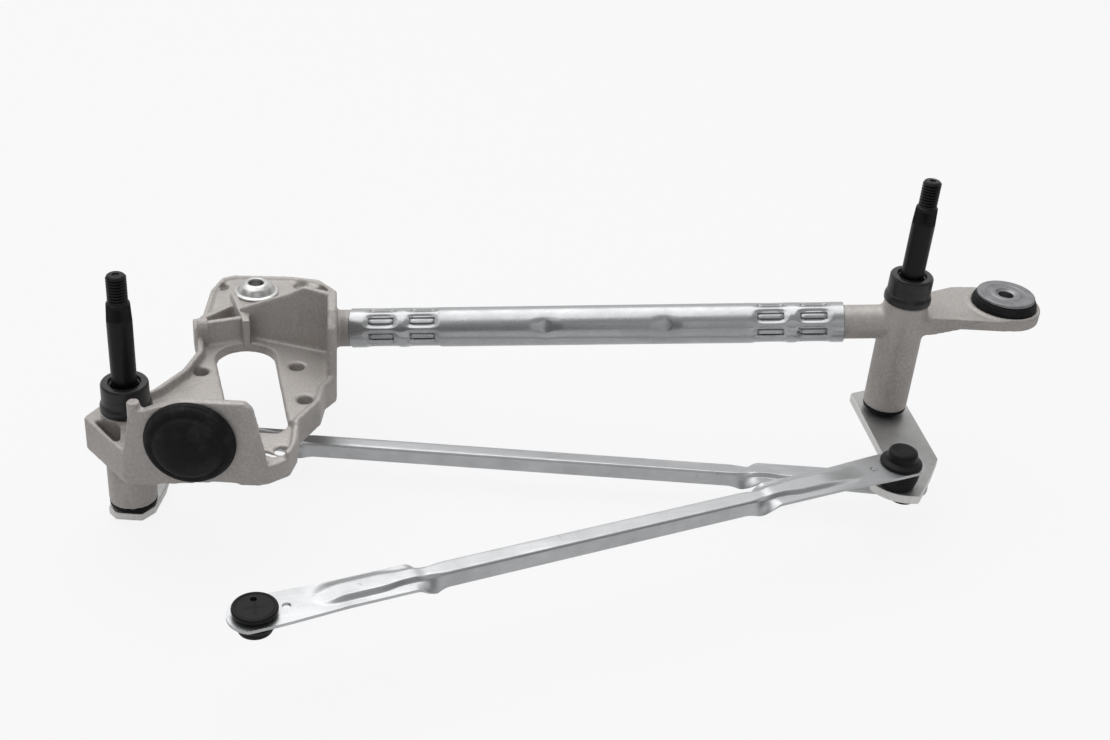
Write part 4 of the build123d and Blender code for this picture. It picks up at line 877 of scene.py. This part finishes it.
class LINKAGE_OT_rubber(bpy.types.Operator):
    """Make the front rubber mount, the foot seals, the ear grommet with its disc and the domed collar"""

    bl_idname = "linkage.rubber"
    bl_label = "Rubber pieces"

    def execute(self, context):
        turn = np.radians(-13.0)
        along = np.array((np.cos(turn), np.sin(turn), 0.0))
        outward = np.array((np.sin(turn), -np.cos(turn), 0.0))
        tab_start, mount_along = np.array((-1.1, -29.0, 52.6 - LEFT_SHOULDER)), 26.2
        centre = (tab_start + mount_along * along) * MM
        corners = [(0.0, -8.0), (4.4, -8.0), (7.2, -4.1), (5.25, -4.0), (5.25, -0.02), (17.2, -0.02), (17.8, 0.5),
                   (17.75, 1.6), (17.4, 2.6), (17.0, 3.0), (16.9, 3.5), (16.2, 4.5), (15.0, 5.0), (14.0, 4.9),
                   (13.5, 5.2), (12.9, 6.4), (11.4, 7.6), (9.0, 8.5), (5.0, 9.2), (0.0, 9.4)]
        profile = rounded_profile(corners, 0.9, 6)

        def seam(r, z, a):
            """Mould seam: the face sinks by a narrow bell across one diameter, inside r 8.5."""
            across = r * np.cos(a)
            return r, z - 0.35 * np.exp(-((across / 0.5) ** 2)) * (z > 5.5) * smooth_step(10.5, 8.0, r)

        revolved("front_rubber_cushion", profile, centre, "frame", ("front_rubber_mount",),
                 axis=tuple(outward), columns=160, relief=seam)
        corners = [(5.3, 0.3), (6.4, 0.3), (6.5, 2.0), (9.0, 2.1), (9.6, 2.35), (9.6, 2.85), (9.2, 3.0), (9.7, 3.15),
                   (9.6, 3.75), (5.3, 3.75), (5.3, 0.3)]
        for side, x, top in (("left", 0.0, LEFT_CRANK_TOP), ("right", RIGHT_AXIS_X, RIGHT_CRANK_TOP)):
            revolved(side + "_foot_seal", rounded_profile(corners, 0.25, 4), (x * MM, 0.0, height(top)), "frame",
                     (side + "_lower_washer",))
        centre = box_centre("ear_grommet")
        centre[2] = height(EAR_TOP)
        corners = [(5.55, 4.4), (12.6, 4.4), (12.95, 4.4), (13.5, 4.0), (13.95, 3.3), (14.0, 2.8), (14.3, 2.5),
                   (14.4, 1.9), (14.35, 0.5), (14.0, 0.05), (9.45, 0.05), (9.45, -5.05), (11.4, -5.05),
                   (10.4, -8.0), (5.55, -8.0), (5.55, 4.4)]
        revolved("ear_rubber_grommet", rounded_profile(corners, 0.5, 5), centre, "frame",
                 ("ear_grommet",))
        corners = [(3.35, -8.0), (5.5, -8.0), (5.5, 4.43), (12.6, 4.43), (12.95, 4.8), (12.9, 5.6), (12.4, 6.0),
                   (8.9, 6.0), (8.6, 5.75), (6.9, 5.75), (6.6, 6.0), (4.7, 6.0), (4.4, 5.6), (3.35, 5.2),
                   (3.35, -8.0)]
        revolved("grommet_disc", rounded_profile(corners, 0.25, 4), centre, "frame",
                 ("grommet_sleeve",))
        corners = [(3.35, -5.0), (3.35, 4.7), (3.9, 5.4), (5.2, 5.25), (7.1, 3.9), (8.2, 2.2), (8.7, 1.35),
                   (9.7, 1.15), (10.15, 0.9), (10.2, 0.06), (6.45, 0.06), (6.45, -5.0), (3.35, -5.0)]
        centre = box_centre("rear_mount_collar")
        centre[2] = height(COLLAR_SEAT)
        revolved("domed_collar", rounded_profile(corners, 0.6, 6), centre, "frame",
                 ("rear_mount_collar",), columns=128)
        return {"FINISHED"}


class LINKAGE_OT_sockets(bpy.types.Operator):
    """Make the ball sockets, their boots and the free socket's cover"""

    bl_idname = "linkage.sockets"
    bl_label = "Sockets and boots"

    def execute(self, context):
        socket = [(0.0, 7.6), (3.2, 7.75), (4.9, 7.6), (6.0, 6.9), (6.4, 5.6), (6.45, 3.3), (6.9, 3.0), (8.5, 2.2),
                  (8.9, 1.8), (8.9, 1.0), (8.7, 0.8), (7.25, 0.8), (7.25, -0.8), (7.1, -1.75), (5.42, -1.75)]
        cavity_radius, plane_above_foot, capped_height = 5.7, 0.75, 6.3
        inside = np.linspace(np.arcsin(socket[-1][1] / cavity_radius), np.pi / 2, 16)
        cavity = np.stack([cavity_radius * np.cos(inside), cavity_radius * np.sin(inside)], axis=1)
        profile = np.concatenate([rounded_profile(socket, 0.5, 5), cavity])
        boot = [(7.6, -0.85), (8.6, -0.85), (8.9, -1.2), (8.9, -2.1), (8.3, -2.7), (8.6, -3.4), (8.2, -4.2),
                (8.45, -5.0), (8.1, -6.4), (7.4, -9.2), (6.55, -9.35), (6.55, -8.2), (7.0, -7.8), (7.3, -4.8),
                (7.6, -0.85)]
        boot_profile = rounded_profile(boot, 0.45, 5)
        rise = (plane_above_foot + context.scene.linkage_sizes.rib_rise) * MM
        for link, end, up in (("rear_link", "left", 1), ("rear_link", "right", -1),
                              ("front_link", "right", 1), ("front_link", "free", -1)):
            name, body = link + "_" + end, link + "_body"
            centre = box_centre(name + "_socket")
            centre[2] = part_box(link)[1][2] - rise
            sign = np.array((1.0, float(up)))
            free = end == "free"
            shape = np.minimum(profile, (np.inf, capped_height)) if free else profile
            revolved(name + "_ball_socket", shape * sign, centre, body, (name + "_socket",))
            if free:
                self.cover(centre, body)
            else:
                revolved(name + "_bellows", boot_profile * sign, centre, body, (name + "_boot",))
        return {"FINISHED"}

    def cover(self, centre, body):
        """Flat black cover with a rounded rim, a pit and two mould seams, on the free socket."""
        corners = [(6.2, 3.5), (6.8, 3.55), (7.2, 3.93), (7.8, 3.9), (8.25, 3.4), (8.3, 2.5), (7.9, 2.0),
                   (6.9, 1.9), (6.8, 0.8), (0.0, 0.8)]

        def pit(r, z, a):
            """Small pit off the middle and two shallow mould seams through the centre."""
            x, y = r * np.cos(a), r * np.sin(a)
            hole = smooth_step(1.2, 0.9, np.hypot(x + 0.2, y - 4.3))
            lines = np.exp(-((x / 0.4) ** 2)) + np.exp(-((y / 0.4) ** 2))
            on_top = (z > 2.0) & (r < 6.4)
            return r, z - on_top * (1.3 * hole + 0.16 * lines * smooth_step(4.4, 3.0, r))

        face = np.stack([np.linspace(0.0, 6.1, 44), np.full(44, 3.5)], axis=1)
        profile = np.concatenate([face, rounded_profile(corners, 0.4, 4)])
        revolved("free_end_cover", profile, centre, body, ("front_link_free_cover",),
                 columns=144, relief=pit)


class LINKAGE_OT_castings(bpy.types.Operator):
    """Make both cast brackets with their blends and posts, and both blanked cranks"""

    bl_idname = "linkage.castings"
    bl_label = "Castings and cranks"

    def execute(self, context):
        sizes = context.scene.linkage_sizes
        bracket = squared_copy("left_cast_bracket", "left_bracket", sizes.bracket_square)
        smooth_piece(bracket, (("edges", "", 6),))
        web_surface("junction_post", [(50.3, 51.3, 56.3, 1.6, 1.6), (50.1, 54.0, 56.5, 1.5, 1.7),
                                      (49.7, 56.2, 56.8, 2.6, 1.6), (49.3, 57.6, 57.0, 4.0, 1.5),
                                      (48.6, 60.0, 57.0, 2.0, 1.3), (48.2, 62.5, 57.0, 1.4, 1.3),
                                      (46.4, 74.5, 57.0, 1.1, 1.1), (45.9, 78.5, 53.5, 1.1, 1.1)])
        web_surface("wall_end_post", [(31.4, 50.2, 54.1, 2.4, 2.4), (31.5, 51.4, 55.9, 2.4, 2.4),
                                      (31.6, 52.6, 56.8, 2.4, 2.4), (31.6, 55.0, 57.0, 2.0, 2.0)])
        blended_casting(sizes.casting_square)
        for side in ("left", "right"):
            blanked_crank(side, sizes.crank_round)
        return {"FINISHED"}


class LINKAGE_OT_finishes(bpy.types.Operator):
    """Give every piece and CAD node its finish"""

    bl_idname = "linkage.finishes"
    bl_label = "Finishes"

    def execute(self, context):
        colours = context.scene.linkage_colours
        coat(casting_finish(colours.casting), "left_cast_bracket", "right_cast_bracket", "junction_post",
             "wall_end_post")
        for name, colour, degrees, rough, coated in (
                ("zinc_tube", shade(colours.zinc, 0.83), (0.0, 7.4, 17.2), 0.20, ("crimped_tube",)),
                ("zinc_front_link", colours.zinc, (0.0, 0.0, -11.8), 0.34, ("front_pressed_link",)),
                ("zinc_rear_link", colours.zinc, (0.0, 0.0, 13.9), 0.32, ("rear_pressed_link",)),
                ("zinc_studs", colours.zinc, (0.0, 0.0, 0.0), 0.3,
                 ("left_stud_tail", "left_ball_stud", "front_link_ball_stud", "rear_link_ball_stud"))):
            coat(zinc_finish(name, colour, degrees, rough), *coated)
        coat(crank_finish(colours.crank, colours.crank_lit_side), "left_blanked_crank", "right_blanked_crank")
        coat(black_steel_finish(colours.spindle), "left_threaded_spindle", "right_threaded_spindle")
        coat(moulded_finish("cap_plastic", shade(colours.plastic, 1.5), 0.3, 2400.0, 0.08, 0.42),
             "left_lipped_cap", "right_lipped_cap")
        booted = ("rear_link_left", "rear_link_right", "front_link_right")
        coat(moulded_finish("socket_plastic", colours.plastic, 0.4, 2400.0, 0.06, 0.16), "free_end_cover",
             "left_foot_seal", "right_foot_seal", "front_link_free_ball_socket",
             *(name + "_ball_socket" for name in booted))
        coat(moulded_finish("moulded_rubber", colours.rubber, 0.55, 1500.0, 0.16, 0.1), "front_rubber_cushion",
             "ear_rubber_grommet", *(name + "_bellows" for name in booted))
        for name, colour, rough, coated in (
                ("grommet_steel", (0.30, 0.30, 0.31), 0.42, ("grommet_disc",)),
                ("bright_collar", colours.collar, 0.27, ("domed_collar",)),
                ("spring_steel", (0.42, 0.41, 0.40), 0.35, ("left_upper_washer", "right_upper_washer",
                                                            "left_retaining_ring", "right_retaining_ring")),
                ("sintered_bronze", (0.45, 0.32, 0.18), 0.5, ("left_lower_bush", "right_lower_bush",
                                                              "left_upper_bush", "right_upper_bush"))):
            coat(plain_steel_finish(name, colour, rough), *coated)
        return {"FINISHED"}


class LINKAGE_OT_stage(bpy.types.Operator):
    """Set up the camera, the soft studio lamps, the pale floor and the white background"""

    bl_idname = "linkage.stage"
    bl_label = "Studio stage"

    def execute(self, context):
        scene = context.scene
        camera_data = bpy.data.cameras.new("view_camera")
        camera_data.lens = 48.65
        camera_data.sensor_width = 36.0
        camera_data.clip_start = 0.01
        camera = bpy.data.objects.new("view_camera", camera_data)
        # Directions and place fitted to the parallel spindles and the round pieces.
        right = Vector((0.9716, -0.2248, 0.0742)).normalized()
        forward = Vector((0.2308, 0.8299, -0.508)).normalized()
        up = right.cross(forward).normalized()
        turn = Matrix((right, up, -forward)).transposed().to_4x4()
        camera.matrix_world = Matrix.Translation(Vector((29.0, -531.5, 283.4)) * MM) @ turn
        scene.collection.objects.link(camera)
        scene.camera = camera
        middle = Vector((0.165, 0.0, -0.04))
        for name, spot, size, power in (("top_softbox", (-0.04, 0.5, 1.5), 1.9, 13.5),
                                        ("key_softbox", (-0.95, -0.35, 1.1), 0.9, 1.7),
                                        ("front_softbox", (0.1, -1.7, 0.7), 1.3, 2.0),
                                        ("right_softbox", (1.3, -0.2, 0.9), 0.8, 0.9)):
            lamp = bpy.data.lights.new(name, "AREA")
            lamp.shape = "SQUARE"
            lamp.size = size
            lamp.energy = power
            holder = bpy.data.objects.new(name, lamp)
            holder.location = spot
            holder.rotation_euler = (middle - Vector(spot)).to_track_quat("-Z", "Y").to_euler()
            scene.collection.objects.link(holder)
        self.floor(context)
        self.world(scene)
        scene.view_settings.view_transform = "Standard"
        return {"FINISHED"}

    def floor(self, context):
        """Large square floor just below the linkage; camera and mirror rays see it near white."""
        half_size, gap = 30.0, 0.0005
        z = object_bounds()[0][2] - gap
        corners = np.array([(-1, -1), (1, -1), (1, 1), (-1, 1)], float) * half_size
        mesh = bpy.data.meshes.new("studio_floor")
        mesh.from_pydata([(x, y, z) for x, y in corners.tolist()], [], [(0, 1, 2, 3)])
        floor = bpy.data.objects.new("studio_floor", mesh)
        context.scene.collection.objects.link(floor)
        floor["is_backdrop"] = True
        finish = Finish("pale_floor")
        finish.feed({"Base Color": (*context.scene.linkage_colours.floor, 1.0), "Roughness": 0.9,
                     "Specular IOR Level": 0.0})
        glow = finish.node("ShaderNodeEmission", {"Color": WHITE, "Strength": 1.0})
        rays = finish.node("ShaderNodeLightPath", {}).outputs
        seen = finish.math("MULTIPLY", rays["Is Camera Ray"], 0.88)
        mirrored = finish.math("MULTIPLY", rays["Is Glossy Ray"], 0.35)
        blend = finish.node("ShaderNodeMixShader", {0: finish.math("MAXIMUM", seen, mirrored),
                                                    1: finish.shader.outputs[0], 2: glow.outputs[0]})
        fill(finish.tree, finish.tree.nodes["Material Output"], {"Surface": blend.outputs[0]})
        coat(finish.material, "studio_floor")

    def world(self, scene):
        """White to the camera; to other rays a dim room with a bright backdrop behind the linkage."""
        world = bpy.data.worlds.new("studio_world")
        world.use_nodes = True
        scene.world = world
        tree = world.node_tree
        ways = add_node(tree, "ShaderNodeTexCoord", {}).outputs["Generated"]
        parts = add_node(tree, "ShaderNodeSeparateXYZ", {"Vector": ways}).outputs
        behind, above = (
            add_node(tree, "ShaderNodeMapRange", {"Value": parts[part], "From Min": start, "From Max": stop,
                                                  "To Min": low, "To Max": high}, interpolation_type="SMOOTHSTEP")
            for part, start, stop, low, high in (("Y", -0.1, 0.7, 0.18, 0.8), ("Z", 0.25, 0.9, 0.0, 0.25)))
        room = add_node(tree, "ShaderNodeMath", {0: behind.outputs["Result"], 1: above.outputs["Result"]},
                        operation="ADD").outputs[0]
        seen = add_node(tree, "ShaderNodeLightPath", {}).outputs["Is Camera Ray"]
        total = add_node(tree, "ShaderNodeMath", {0: room, 1: seen}, operation="MAXIMUM").outputs[0]
        fill(tree, tree.nodes["Background"], {"Color": WHITE, "Strength": total})


class LINKAGE_PT_sidebar(bpy.types.Panel):
    """Lists the linkage's operators and sizes"""

    bl_label = "Wiper linkage"
    bl_idname = "LINKAGE_PT_sidebar"
    bl_space_type = "VIEW_3D"
    bl_region_type = "UI"
    bl_category = "Linkage"

    def draw(self, context):
        for operator in MAKERS:
            self.layout.operator(operator.bl_idname)
        for group in (context.scene.linkage_sizes, context.scene.linkage_colours):
            for label in group.bl_rna.properties.keys():
                if label not in ("rna_type", "name"):
                    self.layout.prop(group, label)


MAKERS = (LINKAGE_OT_spindles, LINKAGE_OT_tube, LINKAGE_OT_links, LINKAGE_OT_caps, LINKAGE_OT_rubber,
          LINKAGE_OT_sockets, LINKAGE_OT_castings, LINKAGE_OT_finishes, LINKAGE_OT_stage)
CLASSES = (LinkageSizes, LinkageColours, *MAKERS, LINKAGE_PT_sidebar)


def register():
    for cls in CLASSES:
        bpy.utils.register_class(cls)
    bpy.types.Scene.linkage_sizes = PointerProperty(type=LinkageSizes)
    bpy.types.Scene.linkage_colours = PointerProperty(type=LinkageColours)


def unregister():
    del bpy.types.Scene.linkage_sizes
    del bpy.types.Scene.linkage_colours
    for cls in reversed(CLASSES):
        bpy.utils.unregister_class(cls)


def main():
    register()
    for operator in MAKERS:
        group, name = operator.bl_idname.split(".")
        getattr(getattr(bpy.ops, group), name)()


if __name__ == "__main__":
    main()
